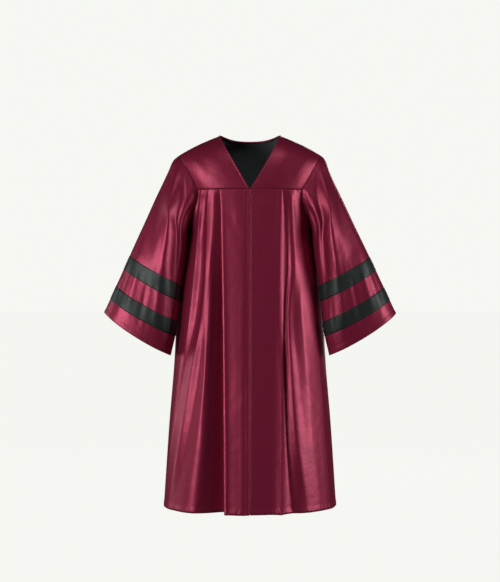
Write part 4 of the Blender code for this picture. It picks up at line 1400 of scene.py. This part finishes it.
@dataclass
class BellSleeve:
    """An open bell sleeve set into the armhole, with two black bars and a turned cuff."""

    form: BodyForm
    cut: SleeveCut
    yoke: YokeCut
    side: Side
    top: tuple[tuple[float, float, float], ...]
    creases: tuple[Crease, ...]
    flat: tuple[float, float] = (0.66, 0.67)
    area: float = 0.315
    half_columns: int = 70
    # A degree round the sleeve is about this many millimetres, and its length is this long on the cloth
    mm_per_degree: float = 2.1
    run_mm: float = 640.0
    slack: Slackness = Slackness(48, 150, 0.45, 113)
    head_puckers: Puckers = Puckers(13.0, 1.2, 20, 127)
    bar_puckers: Puckers = Puckers(25.0, 1.1, 16, 131)
    cuff_puckers: Puckers = Puckers(12.0, 1.2, 13, 137, 0.2)
    cuff_turn_mm: float = 14.0
    armhole_seam: SeamAllowance = SeamAllowance(width=6 * MM)
    bar_shell: float = 0.5 * MM

    def rows(self) -> Array:
        """The shares down the sleeve at which its rows lie, with a row on each edge of each bar."""
        stops = [0.0, 0.06, *(stop for _, first, last in self.cut.bars for stop in (first, last)), 1.0]
        counts = (16, 74, 15, 18, 14, 17)
        runs = [np.linspace(a, b, n, endpoint=False) for a, b, n in zip(stops, stops[1:], counts)]
        return np.concatenate([*runs, [1.0]])

    def armhole(self) -> Array:
        """The armhole at +X: down the front from the shoulder tip to the underarm, and up the back."""
        t = np.linspace(0, 1, 120)
        sides = []
        for face in (Face.FRONT, Face.BACK):
            if face is Face.FRONT:
                above = self.yoke.front(np.ones_like(t), t)
            else:
                above = self.yoke.back(np.full_like(t, 2.0), t)
            z = np.linspace(self.form.seam_z(face) - SEAM_GAP, self.form.underarm_z, 120)
            path = np.concatenate([above, self.form.side_edge(z, face)[1:]])
            path[-1, 1] = self.form.side_line_y
            run = run_along(path, 0)
            even = np.linspace(0, run[-1], self.half_columns + 1)
            sides.append(np.stack([np.interp(even, run, path[:, k]) for k in range(3)], axis=-1))
        return np.concatenate([sides[0], sides[1][-2:0:-1]])

    def degrees(self) -> Array:
        """Each column's angle round the sleeve: 0 at the shoulder, 180 at the underarm, negative behind."""
        step = 180 / self.half_columns
        behind = -180 + np.arange(1, self.half_columns) * step
        return np.concatenate([np.arange(self.half_columns + 1) * step, behind])

    def oval(self, s: Array, degrees: Array) -> tuple[Array, Array]:
        """The sleeve's plain ovals, and the way out of them, at shares down it and angles round it."""
        top, under = np.array(self.top), np.array(self.cut.under)
        high = path_point(top, path_length(top) * (1 - s))
        down_shares = [level.down for level in self.cut.levels]
        share = smooth_track(s, down_shares, [level.under_left for level in self.cut.levels])
        low = path_point(under, path_length(under) * share)
        half_depth = smooth_track(s, down_shares, [level.half_depth for level in self.cut.levels])
        reach = np.linalg.norm(high - low, axis=-1) / 2
        up = (high - low) / (2 * reach[:, None])
        ahead = np.array([0.0, -1.0, 0.0]) + up * up[:, 1:2]
        ahead /= np.linalg.norm(ahead, axis=-1, keepdims=True)
        down = np.cross(up, ahead)
        down *= -np.sign(down[:, 2:3])
        cosine, sine = (f(np.radians(degrees))[None, :, None] for f in (np.cos, np.sin))
        across = up[:, None] * reach[:, None, None] * cosine
        points = (high + low)[:, None] / 2 + across + ahead[:, None] * half_depth[:, None, None] * sine
        outward = up[:, None] * cosine / reach[:, None, None]
        outward = outward + ahead[:, None] * sine / half_depth[:, None, None]
        bow = down[:, None] * self.cut.cuff_bow * (s**2)[:, None, None] * sine**2
        return points + bow, outward / np.linalg.norm(outward, axis=-1, keepdims=True)

    def flutes(self, s: Array, degrees: Array) -> Array:
        """How far the sleeve's large folds stand out, in metres, joined softly on top and underneath."""
        total = {}
        angle = np.abs(degrees)[None]
        for face, flutes in ((Face.FRONT, FRONT_FLUTES), (Face.BACK, BACK_FLUTES)):
            height = np.zeros((len(s), len(degrees)))
            for flute in flutes:
                middle = smooth_track(s, FLUTE_LEVELS, flute.degrees)[:, None]
                size = smooth_track(s, FLUTE_LEVELS, flute.heights)[:, None]
                height += size * np.exp(-(((angle - middle) / flute.width_deg) ** 2))
            total[face] = height
        turned = np.where(angle > 90, np.sign(degrees)[None] * (180 - angle), degrees[None])
        ahead = smooth_step((turned + 9) / 18)
        height = total[Face.FRONT] * ahead + total[Face.BACK] * (1 - ahead)
        return height * MM * smooth_step(s / 0.12)[:, None]

    def bare(self) -> Cloth:
        """The sleeve's large folds from the armhole to the cuff, at +X."""
        s, degrees, loop = self.rows(), self.degrees(), self.armhole()
        tangents = np.roll(loop, -1, axis=0) - np.roll(loop, 1, axis=0)
        tangents /= np.linalg.norm(tangents, axis=1, keepdims=True)
        away = np.array([1.0, 0.0, 0.0]) - tangents * tangents[:, :1]
        away /= np.linalg.norm(away, axis=1, keepdims=True)
        points, outward = self.oval(s, degrees)
        residue = loop - self.oval(np.zeros(1), degrees)[0][0]
        ease = smooth_step(s / 0.25)[:, None, None]
        points = points + residue * (1 - ease)
        points = points + outward * self.flutes(s, degrees)[..., None] + away * SEAM_GAP
        return Cloth(points, grid_normals(points, True, outward), True)

    def dressed(self, cloth: Cloth) -> Cloth:
        """The sleeve with its creases, slackness, and the gathers at its head, its bars and its cuff."""
        s, degrees = self.rows()[:, None], self.degrees()[None]
        around, down = degrees * self.mm_per_degree, s * self.run_mm
        height = sum(crease.lift(around, down) for crease in self.creases)
        height = (height + self.slack.lift(around, down)) * smooth_step(s / 0.08)
        height = height + self.head_puckers.lift(around, down) * smooth_step(down / 5)
        for _, first, last in self.cut.bars:
            for edge, sign in ((first, -1), (last, 1)):
                away = (s - edge) * self.run_mm * sign
                puckers = self.bar_puckers.lift(around, np.abs(away))
                height = height + puckers * np.where(away > 0, smooth_step(away / 4), 0.0)
        height = height + self.cuff_puckers.lift(around, (1 - s) * self.run_mm)
        height = height + 0.5 * smooth_step((self.cuff_turn_mm + 1.5 - (1 - s) * self.run_mm) / 2.5)
        return cloth.raised(height * MM)

    def turned_in(self, bare: Cloth, cloth: Cloth) -> Cloth:
        """The armhole seam's allowance, from a little way into the body to a little way down the sleeve."""
        loop, seam = self.armhole(), self.armhole_seam
        away = (bare.points[0] - loop) / SEAM_GAP
        depth = cloth.normals[:1] * seam.depth
        body = np.stack([loop - away * seam.width - depth[0], loop - depth[0]])
        points = np.concatenate([body, cloth.points[1:4] - cloth.normals[1:4] * seam.depth])
        points = self.side.place(points)
        normals = self.side.place(np.broadcast_to(cloth.normals[:1], points.shape))
        return Cloth(points, grid_normals(points, True, normals), True)

    def build(self, wardrobe: Wardrobe) -> Cloth:
        """Args:
            wardrobe: hands out the materials.

        Returns:
            The sleeve's outer surface.
        """
        satin, reverse = wardrobe.of(MAROON_SATIN), wardrobe.of(SATIN_REVERSE)
        black = wardrobe.of(BLACK_SATIN)
        bare = self.bare()
        cloth = self.dressed(bare)
        turned = self.turned_in(bare, cloth)
        cloth = Cloth(self.side.place(cloth.points), self.side.place(cloth.normals), True)
        word, s = self.side.word, self.rows()
        piece = cloth.make(f"satin_sleeve_{word}", satin, reverse)
        declare(piece, "maroon_satin", f"sleeve_{word}")
        cuff = SewingBox(Topstitch())
        cuff_share = 1 - self.cuff_turn_mm / self.run_mm
        cuff.sew(cloth.across_line(float(np.interp(cuff_share, s, np.arange(len(s))))))
        sewn = [declare(cuff.make(f"stitches_cuff_{word}", wardrobe.of(MAROON_THREAD)), "maroon_satin")]
        allowance = turned.make(f"seam_armhole_{word}", reverse, reverse, self.armhole_seam.thickness)
        sewn.append(declare(allowance, "maroon_satin"))
        edging = SewingBox(Topstitch())
        for name, first, last in self.cut.bars:
            low, high = int(np.argmin(np.abs(s - first))), int(np.argmin(np.abs(s - last)))
            ribbon = cloth.part(rows=slice(low, high + 1))
            crown = 0.55 + 0.4 * np.sin(math.pi * np.linspace(0, 1, high - low + 1)) ** 0.5
            ribbon = ribbon.raised(np.broadcast_to(crown[:, None], ribbon.points.shape[:2]) * MM)
            bar = ribbon.make(f"satin_bar_{name}_{word}", black, black, self.bar_shell)
            declare(bar, "black_satin", f"bar_{name}_{word}")
            sewn.append(bar)
            edging.sew(ribbon.across_line(0.7))
            edging.sew(ribbon.across_line(high - low - 0.7))
        sewn.append(declare(edging.make(f"stitches_bars_{word}", wardrobe.of(BLACK_THREAD)), "black_satin"))
        return cloth


# The zip


@dataclass
class FrontZip:
    """The closed zip behind the front edges: two woven tapes, and a coil that meshes along the middle."""

    bottom_z: float = -1.16
    tape_width: float = 10.5 * MM
    tape_wall: float = 0.6 * MM
    pitch: float = 1.7 * MM
    turn_length: float = 1.15 * MM
    turn_width_mm: float = 2.6
    turn_height_mm: float = 0.8
    coil_x: float = 1.0 * MM
    coil_gap: float = 0.7 * MM
    underlap: float = 16 * MM

    def behind(self, fronts: tuple[Cloth, Cloth], z: Array, reach: float) -> Array:
        """How far back a piece lies that is just clear of both fronts, at each height.

        Args:
            fronts: the outer surfaces of the two fronts.
            z: the heights.
            reach: how far the piece reaches from the middle.

        Returns:
            The piece's place along Y at each height.
        """
        depths = []
        for cloth in fronts:
            near = cloth.points[:, np.abs(cloth.points[0, :, 0]) < reach + MM, 1].max(axis=1)
            depths.append(np.interp(-z, -cloth.points[:, 0, 2], near))
        return np.maximum(*depths) + SOLID_WALL + SEAM_GAP

    def build(self, wardrobe: Wardrobe, left: Cloth, right: Cloth) -> None:
        """Makes the zip behind the two fronts.

        Args:
            wardrobe: hands out the materials.
            left: the wearer's left front's outer surface.
            right: the wearer's right front's outer surface.
        """
        z = np.linspace(left.points[2, 0, 2], self.bottom_z, 150)
        y = self.behind((left, right), z, self.tape_width)
        weave = wardrobe.of(ZIP_TAPE_WEAVE)
        turn = Topstitch(self.pitch / MM, self.turn_length / MM, self.turn_width_mm, self.turn_height_mm)
        coil = SewingBox(turn)
        for side in Side:
            x = np.linspace(0.4 * MM, self.tape_width, 6)
            points = np.stack(np.broadcast_arrays(side.value * x[None], y[:, None], z[:, None]), axis=-1)
            normals = np.broadcast_to(np.array([0.0, -1.0, 0.0]), points.shape)
            tape = Cloth(points, normals).make(f"zip_tape_{side.word}", weave, weave, self.tape_wall)
            declare(tape, "black_zip", *(["zip"] if side is Side.LEFT else []))
            shift = 0.0 if side is Side.LEFT else self.pitch / 2
            x = np.full_like(z, side.value * self.coil_x)
            line = np.stack([x, y + self.tape_wall + self.coil_gap, z - shift], axis=-1)
            coil.sew((line, np.broadcast_to(np.array([0.0, 1.0, 0.0]), line.shape)), 0.0)
        declare(coil.make("zip_coil", wardrobe.of(ZIP_NYLON)), "black_zip")
        self.close_below(wardrobe, left, right)

    def close_below(self, wardrobe: Wardrobe, left: Cloth, right: Cloth) -> None:
        """Lays the narrow underlap that closes the fronts from the zip's end to the hem."""
        z = np.linspace(self.bottom_z + 4 * MM, left.points[-1, 0, 2] + 2 * MM, 24)
        x = np.linspace(-self.underlap / 2, self.underlap / 2, 7)
        y = self.behind((left, right), z, self.underlap / 2) + SEAM_GAP + self.tape_wall
        points = np.stack(np.broadcast_arrays(x[None], y[:, None], z[:, None]), axis=-1)
        strip = Cloth(points, np.broadcast_to(np.array([0.0, -1.0, 0.0]), points.shape))
        piece = strip.make("satin_underlap", wardrobe.of(MAROON_SATIN), wardrobe.of(SATIN_REVERSE))
        declare(piece, "maroon_satin")


# The studio


@dataclass(frozen=True)
class SoftBox:
    """A large soft lamp: where it hangs, how large it is, how bright, and its colour."""

    name: str
    place: tuple[float, float, float]
    size: tuple[float, float]
    watts: float
    colour: tuple[float, float, float] = (1.0, 0.985, 0.97)

    def hang(self, target: tuple[float, float, float]) -> None:
        """Hangs the lamp so that it faces the target."""
        lamp = bpy.data.lights.new(self.name, "AREA")
        lamp.shape = "RECTANGLE"
        lamp.size, lamp.size_y = self.size
        lamp.energy = self.watts
        lamp.color = self.colour
        holder = bpy.data.objects.new(self.name, lamp)
        holder.location = self.place
        aim = Vector(target) - Vector(self.place)
        holder.rotation_euler = aim.to_track_quat("-Z", "Y").to_euler()
        bpy.context.scene.collection.objects.link(holder)


@dataclass(frozen=True)
class Studio:
    """The pale floor, the soft lamps and the camera at the photograph's place."""

    paper: str = "#f6f7f2"
    floor_z: float = -1.62
    camera_y: float = -4.2
    camera_z: float = -0.538
    lens: float = 74.8
    ambient: float = 0.035
    # How strongly the floor glows for the lamps' bounces, and as the camera sees it
    floor_bounce: float = 0.025
    floor_shown: float = 0.985
    lamps: tuple[SoftBox, ...] = (
        SoftBox("key light", (-3.0, -3.0, -0.2), (1.6, 2.2), 112.0),
        SoftBox("right light", (4.0, -1.2, -0.3), (1.2, 2.4), 98.0),
        SoftBox("left rim light", (-3.6, 0.9, -0.5), (1.2, 2.4), 33.0),
        SoftBox("top light", (0.4, -2.2, 2.2), (1.4, 1.0), 16.0),
        SoftBox("back light", (0.6, 3.6, 0.2), (2.4, 2.2), 70.0),
    )

    def build(self) -> None:
        """Makes the floor, the air, the lamps and the camera."""
        scene = bpy.context.scene
        scene.view_settings.view_transform = "Standard"
        self.lay_floor()
        self.fill_air(scene)
        for lamp in self.lamps:
            lamp.hang((0.0, 0.0, -0.6))
        data = bpy.data.cameras.new("camera")
        data.lens = self.lens
        data.sensor_width = 36.0
        data.dof.use_dof = False
        camera = bpy.data.objects.new("camera", data)
        camera.location = (0.0, self.camera_y, self.camera_z)
        camera.rotation_euler = (math.pi / 2, 0.0, 0.0)
        scene.collection.objects.link(camera)
        scene.camera = camera

    def lay_floor(self) -> None:
        """Lays the pale floor, which glows enough to stay as light as the paper behind it."""
        bpy.ops.object.select_all(action="DESELECT")
        bpy.ops.mesh.primitive_circle_add(
            vertices=96, radius=60.0, fill_type="NGON", location=(0, 0, self.floor_z)
        )
        floor = bpy.context.object
        floor.name = "studio_floor"
        material, tree, shader = new_material("pale studio paper")
        place = add_node(tree, "ShaderNodeTexCoord").outputs["Object"]
        fibre = add_node(tree, "ShaderNodeTexNoise", {"Vector": place, "Scale": 40.0}).outputs[0]
        tone = add_node(
            tree, "ShaderNodeMix", {0: fibre, 6: linear("#1c1c1b"), 7: linear("#202020")}, data_type="RGBA"
        ).outputs[2]
        tree.links.new(tone, shader.inputs["Base Color"])
        shader.inputs["Roughness"].default_value = 1.0
        shader.inputs["Specular IOR Level"].default_value = 0.0
        shader.inputs["Emission Color"].default_value = linear(self.paper)
        rays = add_node(tree, "ShaderNodeLightPath").outputs["Is Camera Ray"]
        strengths = {0: rays, 1: 0.0, 2: 1.0, 3: self.floor_bounce, 4: self.floor_shown}
        glow = add_node(tree, "ShaderNodeMapRange", strengths).outputs[0]
        tree.links.new(glow, shader.inputs["Emission Strength"])
        floor.data.materials.append(material)

    def fill_air(self, scene: bpy.types.Scene) -> None:
        """Makes the air look like the pale paper, and light the gown only faintly."""
        world = bpy.data.worlds.new("studio air")
        scene.world = world
        world.use_nodes = True
        tree = world.node_tree
        shown = tree.nodes["Background"]
        shown.inputs["Color"].default_value = linear(self.paper)
        light = {"Color": linear(self.paper), "Strength": self.ambient}
        faint = add_node(tree, "ShaderNodeBackground", light)
        rays = add_node(tree, "ShaderNodeLightPath").outputs["Is Camera Ray"]
        mixed = add_node(tree, "ShaderNodeMixShader", {0: rays, 1: faint.outputs[0], 2: shown.outputs[0]})
        tree.links.new(mixed.outputs[0], tree.nodes["World Output"].inputs["Surface"])


# Creases, placed from the photograph on the front, and alike on the sides it hides

RIGHT_FRONT_CREASES = (
    Crease((72, 245), (25, 405), -0.7, 12, 6),
    Crease((12, 560), (30, 640), -0.5, 6),
    Crease((10, 690), (34, 800), -0.5, 7, 4),
    Crease((14, 860), (36, 960), 0.6, 8),
    Crease((160, 260), (172, 420), -1.5, 7, 3),
)
LEFT_FRONT_CREASES = (
    Crease((20, 330), (58, 430), -0.6, 12, 5),
    Crease((14, 600), (36, 660), -0.5, 7),
    Crease((12, 780), (30, 900), 0.5, 8, 3),
    Crease((152, 205), (158, 300), -1.0, 5),
)
BACK_CREASES = (
    Crease((10, 300), (22, 720), 2.5, 9, 4),
    Crease((54, 330), (62, 800), -2.5, 8, -4),
    Crease((98, 300), (118, 760), 3.0, 10, 5),
    Crease((70, 860), (96, 1240), -4.0, 12, 5),
    Crease((128, 700), (150, 1180), 4.5, 13, -6),
    Crease((166, 420), (196, 900), -4.0, 11, 6),
    Crease((200, 640), (232, 1230), 4.0, 14, 6),
    Crease((30, 700), (48, 1230), 3.0, 12, 4),
)
FRONT_YOKE_CREASES = (
    Crease((130, 30), (70, 150), 0.9, 20, 8),
    Crease((180, 55), (110, 170), -0.9, 18, 6),
    Crease((205, 75), (140, 175), 1.0, 16, -5),
)
BACK_YOKE_CREASES = (
    Crease((-200, 70), (-110, 165), -1.6, 14, 6),
    Crease((195, 75), (120, 170), -1.6, 13, -6),
    Crease((-150, 50), (-60, 150), 1.6, 16, 5),
    Crease((140, 45), (50, 150), 1.6, 15, -5),
)
SLEEVE_CREASES = (
    Crease((98, 6), (190, 70), 2.2, 4.5, 3),
    Crease((128, 10), (232, 96), -2.2, 5, 4),
    Crease((60, 14), (96, 120), -1.6, 6, 3),
    Crease((20, 60), (60, 380), -1.6, 10, 4),
    Crease((90, 430), (96, 620), -2.0, 12),
    Crease((140, 420), (150, 620), 2.2, 11),
    Crease((190, 430), (196, 630), -2.2, 10),
    Crease((240, 430), (252, 620), 2.2, 11),
    Crease((290, 450), (300, 620), -1.8, 10),
    Crease((-30, 30), (-110, 420), 4.0, 13, -6),
    Crease((-66, 40), (-160, 460), -4.5, 12, -8),
    Crease((-110, 70), (-230, 500), 4.0, 13, -8),
    Crease((-170, 100), (-300, 520), -3.5, 13, -8),
    Crease((-140, 420), (-150, 630), 2.6, 13),
    Crease((-220, 430), (-228, 620), -2.6, 12),
)


def close_seams(
    wardrobe: Wardrobe, cut: YokeCut, fronts: dict[Side, Cloth], backs: dict[Side, Cloth]
) -> None:
    """Lays the seam allowances inside the side seams, the centre back seam and the shoulder seams.

    Args:
        wardrobe: hands out the materials.
        cut: the yokes' sizes.
        fronts: the outer surface of each front.
        backs: the outer surface of each half of the back.
    """
    seam = SeamAllowance()
    hem_z = -cut.form.length + MM
    down = np.linspace(cut.form.underarm_z - MM, hem_z, 140)
    for side in Side:
        ahead = seam.beside(fronts[side], True, down)
        behind = seam.beside(backs[side], True, down)
        outward = np.broadcast_to(np.array([side.value, 0.0, 0.0]), (len(down), 3))
        lines = [*ahead, *behind[::-1]]
        seam.close(wardrobe, f"seam_side_{side.word}", lines, outward, f"satin_front_{side.word}")
        s = np.linspace(0.02, 0.985, 60)
        over = [
            cut.front(s, np.full_like(s, 0.035)),
            cut.front(s, np.zeros_like(s)),
            cut.back(1 + s, np.zeros_like(s)),
            cut.back(1 + s, np.full_like(s, 0.035)),
        ]
        ways = yoke_outward(over[1], cut.form)
        ways /= np.linalg.norm(ways, axis=1, keepdims=True)
        lines = [side.place(line - ways * 1.1 * seam.depth) for line in over]
        yoke = f"satin_yoke_front_{side.word}"
        seam.close(wardrobe, f"seam_shoulder_{side.word}", lines, side.place(ways), yoke)
    down = np.linspace(cut.form.back_seam_z - 2 * MM, hem_z, 140)
    left, right = (seam.beside(backs[side], False, down) for side in (Side.LEFT, Side.RIGHT))
    lines = [*left, *right[::-1]]
    outward = np.broadcast_to(np.array([0.0, 1.0, 0.0]), (len(down), 3))
    seam.close(wardrobe, "seam_centre_back", lines, outward, "satin_back_left")


def main() -> None:
    """Loads the frame, builds and dresses each piece in order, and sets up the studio."""
    logging.basicConfig(level=logging.INFO, format="%(name)s: %(message)s")
    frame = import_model()
    bpy.ops.object.select_all(action="DESELECT")
    log.info("frame: %d solids", len(frame["nodes"]))
    wardrobe = Wardrobe()
    form = BodyForm()
    cut = YokeCut(form)
    BackYoke(cut, BACK_YOKE_CREASES).build(wardrobe)
    for side in Side:
        FrontYoke(cut, side, FRONT_YOKE_CREASES).build(wardrobe)
    fronts, backs = {}, {}
    for side, folds, creases, seed, flat, area in (
        (Side.LEFT, LEFT_FRONT, LEFT_FRONT_CREASES, 11, (0.47, 1.10), 0.405),
        (Side.RIGHT, RIGHT_FRONT, RIGHT_FRONT_CREASES, 12, (0.50, 1.10), 0.43),
    ):
        slack = Slackness(46, 150, 0.45, seed)
        panel = PleatedPanel(form, side, Face.FRONT, folds, creases, slack, flat, area)
        fronts[side] = panel.build(wardrobe)
    for side, folds, seed in ((Side.LEFT, LEFT_BACK, 13), (Side.RIGHT, RIGHT_BACK, 14)):
        slack = Slackness(44, 180, 1.6, seed)
        panel = PleatedPanel(form, side, Face.BACK, folds, BACK_CREASES, slack, (0.47, 1.11), 0.41)
        backs[side] = panel.build(wardrobe)
    for side, top in ((Side.LEFT, LEFT_SLEEVE_TOP), (Side.RIGHT, RIGHT_SLEEVE_TOP)):
        BellSleeve(form, SleeveCut(), cut, side, top, SLEEVE_CREASES).build(wardrobe)
    FrontZip().build(wardrobe, fronts[Side.LEFT], fronts[Side.RIGHT])
    close_seams(wardrobe, cut, fronts, backs)
    Studio().build()


if __name__ == "__main__":
    main()
